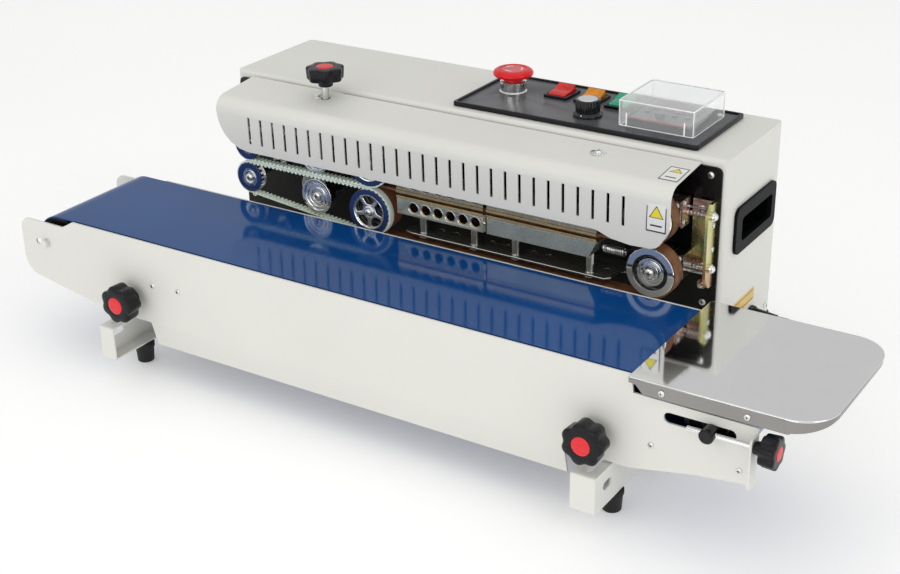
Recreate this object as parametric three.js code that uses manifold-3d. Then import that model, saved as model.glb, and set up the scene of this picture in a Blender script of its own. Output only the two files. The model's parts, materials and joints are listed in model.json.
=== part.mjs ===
// Bench-top continuous band sealer: a steel cabinet that carries two sealing bands, heating and
// cooling blocks, toothed guide belts and press wheels, with a belt conveyor on two arms in front.
// Millimetres, +Z up, +X towards the end where bags are fed in, +Y towards the back.
import * as THREE from 'three';
import { mergeVertices } from 'three/addons/utils/BufferGeometryUtils.js';
import Module from 'manifold-3d';

const wasm = await Module();
wasm.setup();

// ---------------------------------------------------------------- driving dimensions
const GAP = 0.3;                       // running clearance between touching pieces
const SHEET = 2;                       // sheet-metal thickness

// Shared frame: the machine is drawn from the cabinet's front right corner, then moved so that the
// origin is at the middle of the whole machine's footprint.
const ORIGIN = new THREE.Vector3(252, 58.5, 0);

const CABINET = { left: -566, right: 4, front: 0, back: 131, bottom: 58.5, top: 260.4, corner: 5 };
const PLATE = { left: -562, right: 0, bottom: 61, top: 253.5, back: -GAP, thickness: 2 };
const PANEL = { left: -297, right: -31, front: 10, back: 119, base: CABINET.top + GAP, face: 263.7,
  rim: 265.3 };
const PANEL_CUTOUT = { left: -288, right: -40, front: 19, back: 110 };

// Sealing line: every wheel and belt is placed from the plane where the two bands meet.
const SEAL_Z = 184.5;
const HALF_NIP = 0.2;                  // half of the gap between the upper and lower bands
const BAND = { wheelRadius: 24.5, thickness: 1, front: -49.5, back: -34.5 };
const BAND_WHEEL = { front: -50, back: -34, leftX: -355, lowerX: -46, upperX: -51 };
const bandWheelX = (side) => (side < 0 ? BAND_WHEEL.lowerX : BAND_WHEEL.upperX);
const TOOTHED = { thickness: 3, front: -59, back: -52.1, bigRadius: 22.5, smallRadius: 14.5,
  smallX: -509 };
const PULLEY = { front: -60.5, back: -50.6, flange: 1.2, flangeRise: 1.4 };
const PRESS = { radius: 18.6, x: -421, front: -60, back: -50 };
const SHAFT_RADIUS = 6;

const wheelDrop = BAND.wheelRadius + GAP + BAND.thickness + HALF_NIP;
const smallDrop = TOOTHED.smallRadius + GAP + TOOTHED.thickness + HALF_NIP;
const pressDrop = PRESS.radius + GAP + TOOTHED.thickness + HALF_NIP;
const LEVELS = { lower: -1, upper: 1 };

const BLOCK = { front: -57, back: -36, height: 19.8, coolLeft: -322, coolRight: -221, heatLeft: -217,
  heatRight: -98 };
const SHELF = { left: -321, right: -88, front: -50, top: 142, thickness: 2 };
const GUARD = { left: -543, right: -21, front: -66.3, back: -2.9, top: 256.5, bottom: 197, lobe: 189,
  sheet: 1.6 };
const VENT = { count: 29, first: -500, pitch: 15.45, width: 3, bottom: 206.5, top: 235.5 };

const CONVEYOR = {
  frontY: -218, rearY: -74, top: 149, rearTop: 146.8, ear: 140.5, foot: 60, left: -691, right: 132,
};
const ROLLER = { radius: 28, z: 118.2, leftX: -640, rightX: 93, front: -211, back: -81 };
const EXIT_AXLE = 5;
const BELT = { thickness: 1.6, clearance: 0.4, front: -212.2, back: -79.5 };
const BED = { left: -600, right: 40, front: -211.5, back: -80.2, thickness: 3 };
const TRAY = { left: 20, right: 187, front: -224, back: -60, top: 150.5, skirt: 14, corner: 32,
  sheet: 1.5 };
const CLAMP = { leftX: -537, rightX: -11.5, z: 86, travel: 20 };
const ARM = { front: -247, back: 125, bottom: 22, top: 58 };
const LEFT_ARM = { outer: -562, inner: -544 };
const RIGHT_ARM = { outer: 4, inner: -20 };
const FOOT = { height: 22, topRadius: 10.5, bottomRadius: 8.5, frontY: -198, rearY: 108 };

const CORD = { radius: 3.5, exitX: CABINET.right, exitY: 78, exitZ: 76, bootLength: 26 };
const COIL = { x: -70, y: 186, innerRadius: 28, outerRadius: 53.4, height: 14.3 };
const PLUG = { left: -186, right: -154, y: 135.5, z: 14, size: 26, pinGap: 19 };

// ---------------------------------------------------------------- solids
// A closed three.js geometry becomes a manifold solid, with its faces pointing out.
function solid(geometry) {
  const bare = geometry.index ? geometry.clone() : geometry;
  bare.deleteAttribute('normal');
  bare.deleteAttribute('uv');
  const merged = mergeVertices(bare, 1e-4);
  const at = merged.attributes.position;
  const index = merged.index.array;
  const triangles = [];
  let volume = 0;
  const [a, b, c] = [new THREE.Vector3(), new THREE.Vector3(), new THREE.Vector3()];
  for (let i = 0; i < index.length; i += 3) {
    const [i0, i1, i2] = [index[i], index[i + 1], index[i + 2]];
    if (i0 === i1 || i1 === i2 || i2 === i0) continue;
    triangles.push(i0, i1, i2);
    a.fromBufferAttribute(at, i0);
    b.fromBufferAttribute(at, i1);
    c.fromBufferAttribute(at, i2);
    volume += a.dot(b.cross(c));
  }
  if (volume < 0) {
    for (let i = 0; i < triangles.length; i += 3) {
      [triangles[i], triangles[i + 1]] = [triangles[i + 1], triangles[i]];
    }
  }
  return new wasm.Manifold(new wasm.Mesh({
    numProp: 3,
    vertProperties: new Float32Array(at.array),
    triVerts: new Uint32Array(triangles),
  }));
}

const join = (...solids) => solids.reduce((all, next) => all.add(next));
const cut = (body, ...tools) => tools.reduce((rest, tool) => rest.subtract(tool), body);

function box(x0, x1, y0, y1, z0, z1) {
  const geometry = new THREE.BoxGeometry(x1 - x0, y1 - y0, z1 - z0);
  geometry.translate((x0 + x1) / 2, (y0 + y1) / 2, (z0 + z1) / 2);
  return solid(geometry);
}

// Corner points [u, v, fillet radius] become a polygon whose fillets are short arcs.
function outline(points, steps = 4) {
  const result = [];
  points.forEach(([u, v, radius = 0], i) => {
    const corner = new THREE.Vector2(u, v);
    if (!radius) {
      result.push(corner);
      return;
    }
    const before = points[(i + points.length - 1) % points.length];
    const after = points[(i + 1) % points.length];
    const back = new THREE.Vector2(before[0], before[1]).sub(corner).normalize();
    const ahead = new THREE.Vector2(after[0], after[1]).sub(corner).normalize();
    const half = Math.acos(back.dot(ahead)) / 2;
    const inward = back.clone().add(ahead).normalize();
    const centre = inward.multiplyScalar(radius / Math.sin(half)).add(corner);
    const reach = radius / Math.tan(half);
    const start = corner.clone().addScaledVector(back, reach).sub(centre).angle();
    const end = corner.clone().addScaledVector(ahead, reach).sub(centre).angle();
    let sweep = end - start;
    if (sweep > Math.PI) sweep -= 2 * Math.PI;
    if (sweep < -Math.PI) sweep += 2 * Math.PI;
    for (let k = 0; k <= steps; k += 1) {
      const angle = start + (sweep * k) / steps;
      result.push(new THREE.Vector2(centre.x + radius * Math.cos(angle),
        centre.y + radius * Math.sin(angle)));
    }
  });
  return result;
}

const wound = (points, clockwise) => (
  THREE.ShapeUtils.isClockWise(points) === clockwise ? points : [...points].reverse()
);

// Extrudes an outline (and its holes) along one axis. The outline's two coordinates are the other
// two axes in X, Y, Z order: (Y, Z) along X, (X, Z) along Y and (X, Y) along Z.
function prism(axis, points, from, to, holes = []) {
  const shape = new THREE.Shape(wound(points, false));
  shape.holes = holes.map((hole) => new THREE.Path(wound(hole, true)));
  const geometry = new THREE.ExtrudeGeometry(shape, { depth: to - from, bevelEnabled: false,
    curveSegments: 8 });
  if (axis === 'z') geometry.translate(0, 0, from);
  if (axis === 'y') geometry.rotateX(Math.PI / 2).translate(0, to, 0);
  if (axis === 'x') {
    geometry.rotateZ(Math.PI / 2).rotateY(Math.PI / 2).translate(from, 0, 0);
  }
  return solid(geometry);
}

const rectangle = (u0, u1, v0, v1, radius = 0) => (
  outline([[u0, v0, radius], [u1, v0, radius], [u1, v1, radius], [u0, v1, radius]])
);

// A slot between two centres in one row, or in one column.
function slot(u0, v0, u1, v1, radius, steps = 6) {
  const along = Math.atan2(v1 - v0, u1 - u0);
  const result = [];
  [[u1, v1, along - Math.PI / 2], [u0, v0, along + Math.PI / 2]].forEach(([u, v, start]) => {
    for (let k = 0; k <= steps; k += 1) {
      const angle = start + (Math.PI * k) / steps;
      result.push(new THREE.Vector2(u + radius * Math.cos(angle), v + radius * Math.sin(angle)));
    }
  });
  return result;
}

// A rod along an axis: (y, z) for X, (x, z) for Y and (x, y) for Z give its centre line.
function rod(axis, u, v, radius, from, to, sides = 20, endRadius = radius) {
  const geometry = new THREE.CylinderGeometry(endRadius, radius, to - from, sides);
  geometry.translate(0, (from + to) / 2, 0);
  if (axis === 'x') geometry.rotateZ(-Math.PI / 2).translate(0, u, v);
  if (axis === 'y') geometry.translate(u, 0, v);
  if (axis === 'z') geometry.rotateX(Math.PI / 2).translate(u, v, 0);
  return solid(geometry);
}

// A turned piece about an axis along Y. The profile is [radius, y] pairs that start and end on it.
function turned(x, z, profile, sides = 24) {
  const points = profile.map(([radius, y]) => new THREE.Vector2(radius, y));
  return solid(new THREE.LatheGeometry(points, sides).translate(x, 0, z));
}

// The outline of a belt laid round two wheels: a tangent loop at one distance from both rims.
function loopOutline(x0, z0, r0, x1, z1, r1, steps = 14) {
  const along = Math.atan2(z1 - z0, x1 - x0);
  const lean = Math.asin((r0 - r1) / Math.hypot(x1 - x0, z1 - z0));
  const result = [];
  const arc = (x, z, radius, start, end) => {
    for (let k = 0; k <= steps; k += 1) {
      const angle = start + ((end - start) * k) / steps;
      result.push(new THREE.Vector2(x + radius * Math.cos(angle), z + radius * Math.sin(angle)));
    }
  };
  const top = Math.PI / 2 - lean;
  arc(x0, z0, r0, along + top, along + 2 * Math.PI - top);
  arc(x1, z1, r1, along - top, along + top);
  return result;
}

function beltLoop(left, right, clearance, thickness, front, back, steps = 12) {
  const ring = (extra) => loopOutline(
    left.x, left.z, left.radius + extra, right.x, right.z, right.radius + extra, steps,
  );
  return prism('y', ring(clearance + thickness), front, back, [ring(clearance)]);
}

// A star handle: a lobed disc with a hub, along one axis, as an outline round its centre.
function starOutline(u, v, radius, lobes = 7, steps = 4) {
  const result = [];
  const count = lobes * steps;
  for (let k = 0; k < count; k += 1) {
    const angle = (2 * Math.PI * k) / count;
    const reach = radius * (0.91 + 0.09 * Math.cos(lobes * angle));
    result.push(new THREE.Vector2(u + reach * Math.cos(angle), v + reach * Math.sin(angle)));
  }
  return result;
}

// Straight-sided spur gear outline: pitch radius, tooth count and a turn of the first tooth.
function gearOutline(x, z, pitchRadius, teeth, turn) {
  const [outer, root] = [pitchRadius + 2, pitchRadius - 2.8];
  const result = [];
  for (let k = 0; k < teeth; k += 1) {
    const centre = turn + (2 * Math.PI * k) / teeth;
    const step = (2 * Math.PI) / teeth;
    [[root, -0.3], [outer, -0.13], [outer, 0.13], [root, 0.3]].forEach(([radius, share]) => {
      const angle = centre + share * step;
      result.push(new THREE.Vector2(x + radius * Math.cos(angle), z + radius * Math.sin(angle)));
    });
  }
  return result;
}

// ---------------------------------------------------------------- scene graph
const model = new THREE.Group();
const machine = new THREE.Group();
machine.position.copy(ORIGIN);
model.add(machine);

const finish = (color, roughness, metalness) => ({ color, roughness, metalness });
const FINISHES = {
  cream: finish(0xdcdcd6, 0.45, 0.1),
  blackSteel: finish(0x0c0c0d, 0.4, 0.3),
  blackPlastic: finish(0x17181b, 0.45, 0),
  steel: finish(0xb9bcbf, 0.3, 0.9),
  mirror: finish(0xd0d2d4, 0.08, 1),
  zinc: finish(0xb9a860, 0.35, 0.8),
  brass: finish(0xb89a5a, 0.35, 0.9),
  aluminium: finish(0x9ea3a0, 0.35, 0.9),
  blueAnodised: finish(0x1d3566, 0.35, 0.5),
  rubber: finish(0x1a1a1a, 0.8, 0),
  brown: finish(0x8a5638, 0.6, 0),
  paleGreen: finish(0xc4d0bf, 0.6, 0),
  beltBlue: finish(0x0b2a86, 0.2, 0),
  red: finish(0xd8232a, 0.35, 0),
  amber: finish(0xd98a12, 0.3, 0),
  green: finish(0x1f9e78, 0.3, 0),
  clear: finish(0xdfe6e8, 0.1, 0),
};

function addPart(name, body, finishName) {
  const { vertProperties, triVerts } = body.getMesh();
  const geometry = new THREE.BufferGeometry();
  geometry.setAttribute('position', new THREE.BufferAttribute(new Float32Array(vertProperties), 3));
  geometry.setIndex(new THREE.BufferAttribute(new Uint32Array(triVerts), 1));
  geometry.computeVertexNormals();
  const mesh = new THREE.Mesh(geometry, new THREE.MeshStandardMaterial(FINISHES[finishName]));
  mesh.name = name;
  machine.add(mesh);
}

// ---------------------------------------------------------------- cabinet
const HANDLE = { front: 22, back: 118, bottom: 158.5, top: 205.5, rim: 3, depth: 30, wall: 2 };

// Folded flange round the open front, which the shaft plate is screwed to.
const FLANGE = 12;

function cabinetShell() {
  const { left, right, front, back, bottom, top, corner } = CABINET;
  const plan = (inset, round) => (
    rectangle(left + inset, right - inset, front + inset, back - inset, round - inset)
  );
  const body = prism('z', plan(0, corner), bottom, top);
  const edge = box(left - 1, right + 1, front - 1, front + corner, top - corner, top + 1);
  const round = rod('x', front + corner, top - corner, corner, left - 1, right + 1, 24);
  return cut(
    body,
    cut(edge, round),
    prism('z', plan(SHEET, corner), bottom - 1, top - SHEET),
    box(left + FLANGE, right - FLANGE, front - 1, front + SHEET + 1, bottom - 1, top - FLANGE - 2),
    box(PANEL_CUTOUT.left, PANEL_CUTOUT.right, PANEL_CUTOUT.front, PANEL_CUTOUT.back, top - 5, top + 1),
    box(right - 5, right + 1, HANDLE.front + HANDLE.rim, HANDLE.back - HANDLE.rim,
      HANDLE.bottom + HANDLE.rim, HANDLE.top - HANDLE.rim),
    rod('x', CORD.exitY, CORD.exitZ, 6.3, right - 5, right + 1),
  );
}

function sideHandle() {
  const { front, back, bottom, top, rim, depth, wall } = HANDLE;
  const inner = rim + GAP;
  const face = CABINET.right + GAP;
  const flange = prism('x', rectangle(front, back, bottom, top, 8), face, face + 3);
  const cup = prism('x', rectangle(front + inner, back - inner, bottom + inner, top - inner, 5),
    face - depth, face + 1);
  const grip = rectangle(front + inner + wall + 8, back - inner - wall - 4, bottom + 11, top - 12, 4);
  const hollow = rectangle(front + inner + wall, back - inner - wall, bottom + inner + wall,
    top - inner - wall, 3);
  return cut(
    join(flange, cup),
    prism('x', hollow, face - depth + wall, face - 2),
    prism('x', grip, face - 3, face + 4),
  );
}

// The black plate in the cabinet's open front: it carries the shafts, the lower press wheel's pin
// and three tabs for the guard.
function frontPlate() {
  const y0 = PLATE.back - PLATE.thickness;
  const plate = prism('y', rectangle(PLATE.left, PLATE.right, PLATE.bottom, PLATE.top, 6), y0,
    PLATE.back);
  const tabs = [-115, -300, -505].map((x) => box(x - 8, x + 8, -32, PLATE.back - 0.5, 249, 251.5));
  const bores = Object.values(LEVELS).map((side) => (
    rod('y', BAND_WHEEL.leftX, SEAL_Z + side * wheelDrop, SHAFT_RADIUS + 2, y0 - 1, 1)
  ));
  const pressZ = SEAL_Z - pressDrop;
  const pin = join(
    rod('y', PRESS.x, pressZ, 3, PRESS.front + 1, -20, 16),
    rod('y', PRESS.x, pressZ, 8, PRESS.back + GAP, y0 + 1, 20),
  );
  return join(cut(join(plate, ...tabs), ...bores), pin);
}

function basePlate() {
  const { left, right, back, bottom } = CABINET;
  const inset = SHEET + GAP;
  const plan = rectangle(left + inset, right - inset, CABINET.front + inset, back - inset, 6);
  return prism('z', plan, bottom, bottom + SHEET);
}

const SWITCH = { y: 87, halfX: 9.5, halfY: 12.5, bezelX: 13.5, bezelY: 16, bezelTop: 266.4 };
const SWITCH_X = { red_switch: -214.5, amber_switch: -180.5, green_switch: -146.5 };
const STOP = { x: -260, y: 67, collarRadius: 13.7, collarTop: 277, headRadius: 20.5, top: 289.7,
  travel: 4 };
const DIAL = { x: -162, y: 43, radius: 12, skirt: 14.5, base: 264, top: 281 };
const METER = { left: -116, right: -51, front: 37, back: 96, top: 271.5 };
const COVER = { left: -122.5, right: -44.5, front: 30, back: 102.5, base: 264.1, top: 290, wall: 1.8 };

// The sloping rim, switch bezels, stop-button collar and controller body stand on the black panel.
function controlPanel() {
  const { left, right, front, back, base, face, rim } = PANEL;
  const plate = prism('z', rectangle(left, right, front, back, 3), base, rim);
  const field = prism('z', rectangle(left + 3, right - 3, front + 3, back - 3, 2), face, rim + 1);
  const bezels = Object.values(SWITCH_X).map((x) => (
    box(x - SWITCH.bezelX, x + SWITCH.bezelX, SWITCH.y - SWITCH.bezelY, SWITCH.y + SWITCH.bezelY,
      face - 1, SWITCH.bezelTop)
  ));
  const wells = Object.values(SWITCH_X).map((x) => (
    box(x - SWITCH.halfX - 1, x + SWITCH.halfX + 1, SWITCH.y - SWITCH.halfY - 1,
      SWITCH.y + SWITCH.halfY + 1,
      base - 1, SWITCH.bezelTop + 1)
  ));
  const collar = rod('z', STOP.x, STOP.y, STOP.collarRadius, face - 1, STOP.collarTop, 28);
  const meter = prism('z', rectangle(METER.left, METER.right, METER.front, METER.back, 2), face - 1,
    METER.top);
  return cut(
    join(cut(plate, field), ...bezels, collar, meter),
    ...wells,
    rod('z', STOP.x, STOP.y, 9.5, base - 1, STOP.collarTop + 1, 24),
    rod('z', DIAL.x, DIAL.y, 3.6, base - 1, face + 1, 16),
  );
}

function rockerSwitch(x) {
  const { y, halfX, halfY, bezelTop } = SWITCH;
  const side = outline([
    [y - halfY + 1, bezelTop - 7], [y + halfY - 1, bezelTop - 7], [y + halfY, bezelTop - 1.2],
    [y + halfY - 2, bezelTop + 6.2], [y, bezelTop + 1.8], [y - halfY, bezelTop + 0.6],
    [y - halfY, bezelTop - 1.2],
  ]);
  return prism('x', side, x - halfX, x + halfX);
}

function stopButton() {
  const { x, y, headRadius, top, collarTop, travel } = STOP;
  const profile = [
    [0, 262], [8.8, 262], [8.8, collarTop + travel + 0.3], [12, collarTop + travel + 0.5],
    [headRadius - 1.5, collarTop + travel + 1.5],
    [headRadius, collarTop + 8], [headRadius - 3, top - 1.6], [12, top - 0.4], [0, top],
  ].map(([radius, z]) => new THREE.Vector2(radius, z));
  return solid(new THREE.LatheGeometry(profile, 32).rotateX(Math.PI / 2).translate(x, y, 0));
}

function speedDial() {
  const { x, y, radius, skirt, base, top } = DIAL;
  return join(
    rod('z', x, y, 3, base - 8, base + 1, 12),
    rod('z', x, y, skirt, base, base + 4, 28, radius + 1),
    rod('z', x, y, radius + 0.6, base + 3, top - 1.5, 28, radius),
    rod('z', x, y, radius, top - 1.6, top, 28, radius - 1.5),
  );
}

function controllerCover() {
  const { left, right, front, back, base, top, wall } = COVER;
  const shell = cut(
    prism('z', rectangle(left, right, front, back, 4), base, top),
    prism('z', rectangle(left + wall, right - wall, front + wall, back - wall, 2.5), base - 1,
      top - wall),
  );
  const relief = prism('x', outline([[back + 1, base - 1], [back - 3, base - 1], [back + 1,
    base + 4]]), left - 1, right + 1);
  return cut(shell, relief);
}

// ---------------------------------------------------------------- perforated guard
function guardCover() {
  const { left, right, front, back, top, bottom, lobe, sheet } = GUARD;
  const profile = (extra) => outline([
    [back, top - extra], [-52, top - 4.5 - extra, 0], [front + extra, top - 5.5 - extra, 15 - extra],
    [front + 1.2 + extra, lobe - 1], [back, lobe - 1],
  ], 6);
  const sheetBody = cut(
    prism('x', profile(0), left, right),
    prism('x', profile(sheet).map((p) => (
      p.x > -3 || p.y < lobe ? new THREE.Vector2(p.x + (p.x > -3 ? 1 : 0), p.y < lobe ? lobe - 3 : p.y) : p
    )), left - 1, right + 1),
  );
  const face = outline([
    [left, top + 1], [left, bottom, 40], [-95, bottom, 12], [-80, lobe + 2.5, 16], [-60, lobe, 10],
    [right - 12, lobe + 1, 14], [right, bottom + 14, 6], [right, top + 1],
  ], 5);
  const keep = prism('y', face, front - 5, back + 5);
  const vents = Array.from({ length: VENT.count }, (_, i) => {
    const x = VENT.first + i * VENT.pitch;
    return box(x - VENT.width / 2, x + VENT.width / 2, front - 3, front + 8, VENT.bottom, VENT.top);
  });
  return cut(
    sheetBody.intersect(keep),
    ...vents,
    rod('z', PRESS.x - 12, -20, 5, top - 8, top + 3, 16),
  );
}

// ---------------------------------------------------------------- sealing line
const level = (side, drop) => SEAL_Z + side * drop;

// One driving shaft: toothed guide pulley in front, gear inside the cabinet, on one shaft.
function drivePulley(side) {
  const x = BAND_WHEEL.leftX;
  const z = level(side, wheelDrop);
  const { front, back, flange, flangeRise } = PULLEY;
  const rim = TOOTHED.bigRadius;
  const body = turned(x, z, [
    [0, front], [rim + flangeRise, front], [rim + flangeRise, front + flange], [rim, front + flange],
    [rim, back - flange], [rim + flangeRise, back - flange], [rim + flangeRise, back], [SHAFT_RADIUS,
      back],
    [SHAFT_RADIUS, side < 0 ? 44 : 20], [0, side < 0 ? 44 : 20],
  ]);
  const windows = Array.from({ length: 5 }, (_, i) => {
    const angle = (2 * Math.PI * i) / 5 + 0.3;
    return rod('y', x + 13.5 * Math.cos(angle), z + 13.5 * Math.sin(angle), 5, front - 1, back + 1, 10);
  });
  const gear = prism('y', gearOutline(x, z, wheelDrop, 20,
    side < 0 ? Math.PI / 2 : -Math.PI / 2 + Math.PI / 20), 6, 14);
  return join(cut(body, ...windows), gear);
}

function driveWheel(side) {
  const x = BAND_WHEEL.leftX;
  const z = level(side, wheelDrop);
  const { front, back } = BAND_WHEEL;
  return cut(
    rod('y', x, z, BAND.wheelRadius, front, back, 32),
    rod('y', x, z, SHAFT_RADIUS + GAP, front - 1, back + 1, 20),
  );
}

function idlePulley(side) {
  const z = level(side, smallDrop);
  const { front, back, flange, flangeRise } = PULLEY;
  const rim = TOOTHED.smallRadius;
  return turned(TOOTHED.smallX, z, [
    [0, front + 1.5], [5, front + 1.5], [7, front], [rim + flangeRise, front], [rim + flangeRise,
      front + flange],
    [rim, front + flange], [rim, back - flange], [rim + flangeRise, back - flange], [rim + flangeRise,
      back],
    [5, back], [5, PLATE.back - PLATE.thickness - GAP], [0, PLATE.back - PLATE.thickness - GAP],
  ], 24);
}

function pressWheel(side) {
  const z = level(side, pressDrop);
  const { x, radius, front, back } = PRESS;
  const wheel = turned(x, z, [
    [3.3, front + 2], [6, front], [9, front], [10.5, front + 2.5], [14, front + 2.5], [15.5, front],
    [radius - 0.8, front], [radius, front + 0.8], [radius, back - 0.8], [radius - 0.8, back], [3.3,
      back], [3.3, front + 2],
  ]);
  return wheel;
}

// The upper press wheel's pin stands on a block that the pressure knob raises and lowers.
const LIFT = { x: PRESS.x - 12, y: -20, top: 267.5, knobBase: 268.5 };

function pressLift() {
  const z = level(1, pressDrop);
  return join(
    box(LIFT.x - 8, PRESS.x + 8, -30, -10, z - 8, z + 8),
    rod('y', PRESS.x, z, 3, PRESS.front + 1, -20, 16),
    rod('y', PRESS.x, z, 6, PRESS.back + GAP, -20, 20),
    rod('z', LIFT.x, LIFT.y, 4, z, LIFT.top, 16),
  );
}

// Star handle with its threaded hub. Its axis is X, Y or Z and it points along the sign of length.
function starHandle(axis, u, v, base, length, radius, lobes) {
  const [from, to] = [Math.min(base, base + length), Math.max(base, base + length)];
  const middle = base + length * 0.38;
  const disc = length > 0 ? [middle, to - 1.5] : [from + 1.5, middle];
  const cap = length > 0 ? [to - 2, to] : [from, from + 2];
  return join(
    prism(axis, starOutline(u, v, radius, lobes), disc[0], disc[1]),
    rod(axis, u, v, radius * 0.46, Math.min(base, middle), Math.max(base, middle) + 0.01, 20),
    rod(axis, u, v, radius * 0.45, cap[0], cap[1], 20),
  );
}

// A block is drilled through front to back for cooling air, or is solid with a sloping end.
const BORE = { first: 19.8, pitch: 14.4, radius: 5.6 };

function sealingBlock(side, left, right, holes, slope) {
  const face = SEAL_Z + side * HALF_NIP + side * (BAND.thickness + GAP);
  const far = face + side * BLOCK.height;
  const ends = outline([[left, face], [right, face], [right - slope, far], [left, far]]);
  const body = prism('y', ends, BLOCK.front, BLOCK.back);
  const bores = Array.from({ length: holes }, (_, i) => (
    rod('y', left + BORE.first + i * BORE.pitch, face + side * BLOCK.height * 0.55, BORE.radius,
      BLOCK.front - 1, BLOCK.back + 1, 14)
  ));
  const stems = side < 0 ? [] : [left + 16, right - 16].map((x) => (
    rod('y', x, face + 12, 4, BLOCK.back - 1, PLATE.back - PLATE.thickness - GAP, 14)
  ));
  return join(cut(body, ...bores), ...stems);
}

const POST_X = [-299, -239, -192, -111];

// Polished shelf under the lower blocks with the four posts that carry them.
function blockShelf() {
  const { left, right, front, top, thickness } = SHELF;
  const plan = outline([
    [left, front + 8, 3], [left + 12, front, 4], [right - 4, front, 3], [right, front + 6, 3],
    [right, -2.6], [left, -2.6],
  ], 3);
  const posts = POST_X.map((x) => rod('z', x, -43, 4.4, top - 0.5,
    SEAL_Z - HALF_NIP - BAND.thickness - BLOCK.height - 2 * GAP, 16));
  return join(prism('z', plan, top - thickness, top), ...posts);
}

// Bent bracket at the feed end that the two tensioning rods pull against.
const TENSION = { flangeLeft: -6, flangeRight: -3, rodY: -14 };

function tensionBracket() {
  const web = prism('y', rectangle(-21, TENSION.flangeLeft + 1, 150, 222, 2), -5.3, -2.6);
  const flange = prism('x', outline([
    [-2.6, 138, 0], [-14, 138, 4], [-22, 150, 4], [-22, 214, 4], [-14, 222, 3], [-2.6, 222, 0],
  ], 3), TENSION.flangeLeft, TENSION.flangeRight);
  const bores = Object.values(LEVELS).map((side) => (
    rod('x', TENSION.rodY, level(side, wheelDrop), 3, TENSION.flangeLeft - 1, TENSION.flangeRight + 1,
      16)
  ));
  return cut(join(web, flange), ...bores);
}

function bandCarrier(side) {
  const x = bandWheelX(side);
  const z = level(side, wheelDrop);
  return join(
    box(x - 12, x + 21.5, -24, -5.6, z - 12, z + 12),
    rod('y', x, z, 4, BAND_WHEEL.front - 2, -20, 16),
    rod('y', x, z, 7, BAND_WHEEL.back + GAP, -20, 20),
    rod('x', TENSION.rodY, z, 2.5, x + 20, -1.5, 14),
  );
}

function bandWheel(side) {
  const { front, back } = BAND_WHEEL;
  const rim = BAND.wheelRadius;
  return turned(bandWheelX(side), level(side, wheelDrop), [
    [4.3, front - 1], [8.5, front - 1], [10.5, front + 2], [14, front + 2], [17.5, front], [rim - 0.6,
      front],
    [rim, front + 0.6], [rim, back], [4.3, back], [4.3, front - 1],
  ], 30);
}

// ---------------------------------------------------------------- drive inside the cabinet
function gearMotor() {
  const x = BAND_WHEEL.leftX;
  const z = level(-1, wheelDrop);
  return cut(
    join(
      box(x - 34, x + 34, 22, 62, z - 36, z + 26),
      rod('x', 42, z - 14, 24, x + 33, x + 118, 24),
      box(x - 30, x + 30, 26, 58, CABINET.bottom + SHEET + GAP, z - 35),
    ),
    rod('y', x, z, SHAFT_RADIUS + GAP, 20, 46, 20),
  );
}

// ---------------------------------------------------------------- conveyor
// Fixed axle of the exit-end roller, welded to the rear plate, with a nut plate for the front bolt.
function exitAxle() {
  const x = ROLLER.leftX;
  const y0 = CONVEYOR.frontY + SHEET + GAP;
  return join(
    rod('y', x, ROLLER.z, EXIT_AXLE, y0 + 1, CONVEYOR.rearY - 1, 16),
    box(x - 26, x + 7, y0, y0 + 2.5, ROLLER.z - 9, ROLLER.z + 9),
  );
}

// Both side plates share one outline; only the front one has the lip, end flange and clamp holes.
function sidePlateOutline(top) {
  const { left, right, ear, foot } = CONVEYOR;
  return outline([
    [left, ear, 12], [-630, ear], [-615, top], [20, top], [22, TRAY.top - TRAY.skirt - 4], [right,
      TRAY.top - TRAY.skirt - 5],
    [right, 78, 2], [80, 72, 30], [20, foot, 20], [-575, foot, 60], [left, 80, 20],
  ], 4);
}

function conveyorPlate(isFront) {
  const y = isFront ? CONVEYOR.frontY : CONVEYOR.rearY - SHEET;
  const holes = [
    slot(-668, ROLLER.z - 1, -654, ROLLER.z - 1, 3.4),
    slot(55, ROLLER.z, 109, ROLLER.z, 5),
  ];
  if (isFront) {
    [CLAMP.leftX, CLAMP.rightX].forEach((x) => holes.push(slot(x - 0.01, CLAMP.z, x + 0.01, CLAMP.z,
      4.4)));
  }
  const outlineTop = isFront ? CONVEYOR.top : CONVEYOR.rearTop;
  const plate = prism('y', sidePlateOutline(outlineTop), y, y + SHEET, holes);
  if (!isFront) return join(plate, exitAxle());
  const lip = prism('x', outline([[-218, 61], [-216, 61], [-208.6, 32], [-210.6, 32]]), -518, -42);
  const endFlange = prism('x', outline([[-217, 80], [-231, 80, 3], [-231, 126, 3], [-217, 126]]), 130,
    132);
  return cut(
    join(plate, lip, endFlange),
    rod('x', -225, ROLLER.z, 3.3, 128, 134, 16),
  );
}

// The sliding bed under the belt's top run, stiffened by two ribs.
function conveyorBed() {
  const top = ROLLER.z + ROLLER.radius + BELT.clearance - GAP;
  const bed = box(BED.left, BED.right, BED.front, BED.back, top - BED.thickness, top);
  const ribs = [BED.front + 6, BED.back - 9].map((y) => box(BED.left + 4, BED.right - 4, y, y + 3,
    top - 14, top - 1));
  return join(bed, ...ribs);
}

function roller(x, bore) {
  return cut(
    rod('y', x, ROLLER.z, ROLLER.radius, ROLLER.front, ROLLER.back, 36),
    rod('y', x, ROLLER.z, bore, ROLLER.front - 1, ROLLER.back + 1, 20),
  );
}

// Axle of the feed-end roller: it slides in the side plates' slots, and its head holds the rod.
function rollerAxle() {
  const x = ROLLER.rightX;
  return cut(
    join(
      rod('y', x, ROLLER.z, 4.5, -219, -70, 16),
      rod('y', x, ROLLER.z, 6.5, -232, -218.4, 20),
    ),
    rod('x', -225, ROLLER.z, 2.9, x - 10, x + 10, 14),
  );
}

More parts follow.
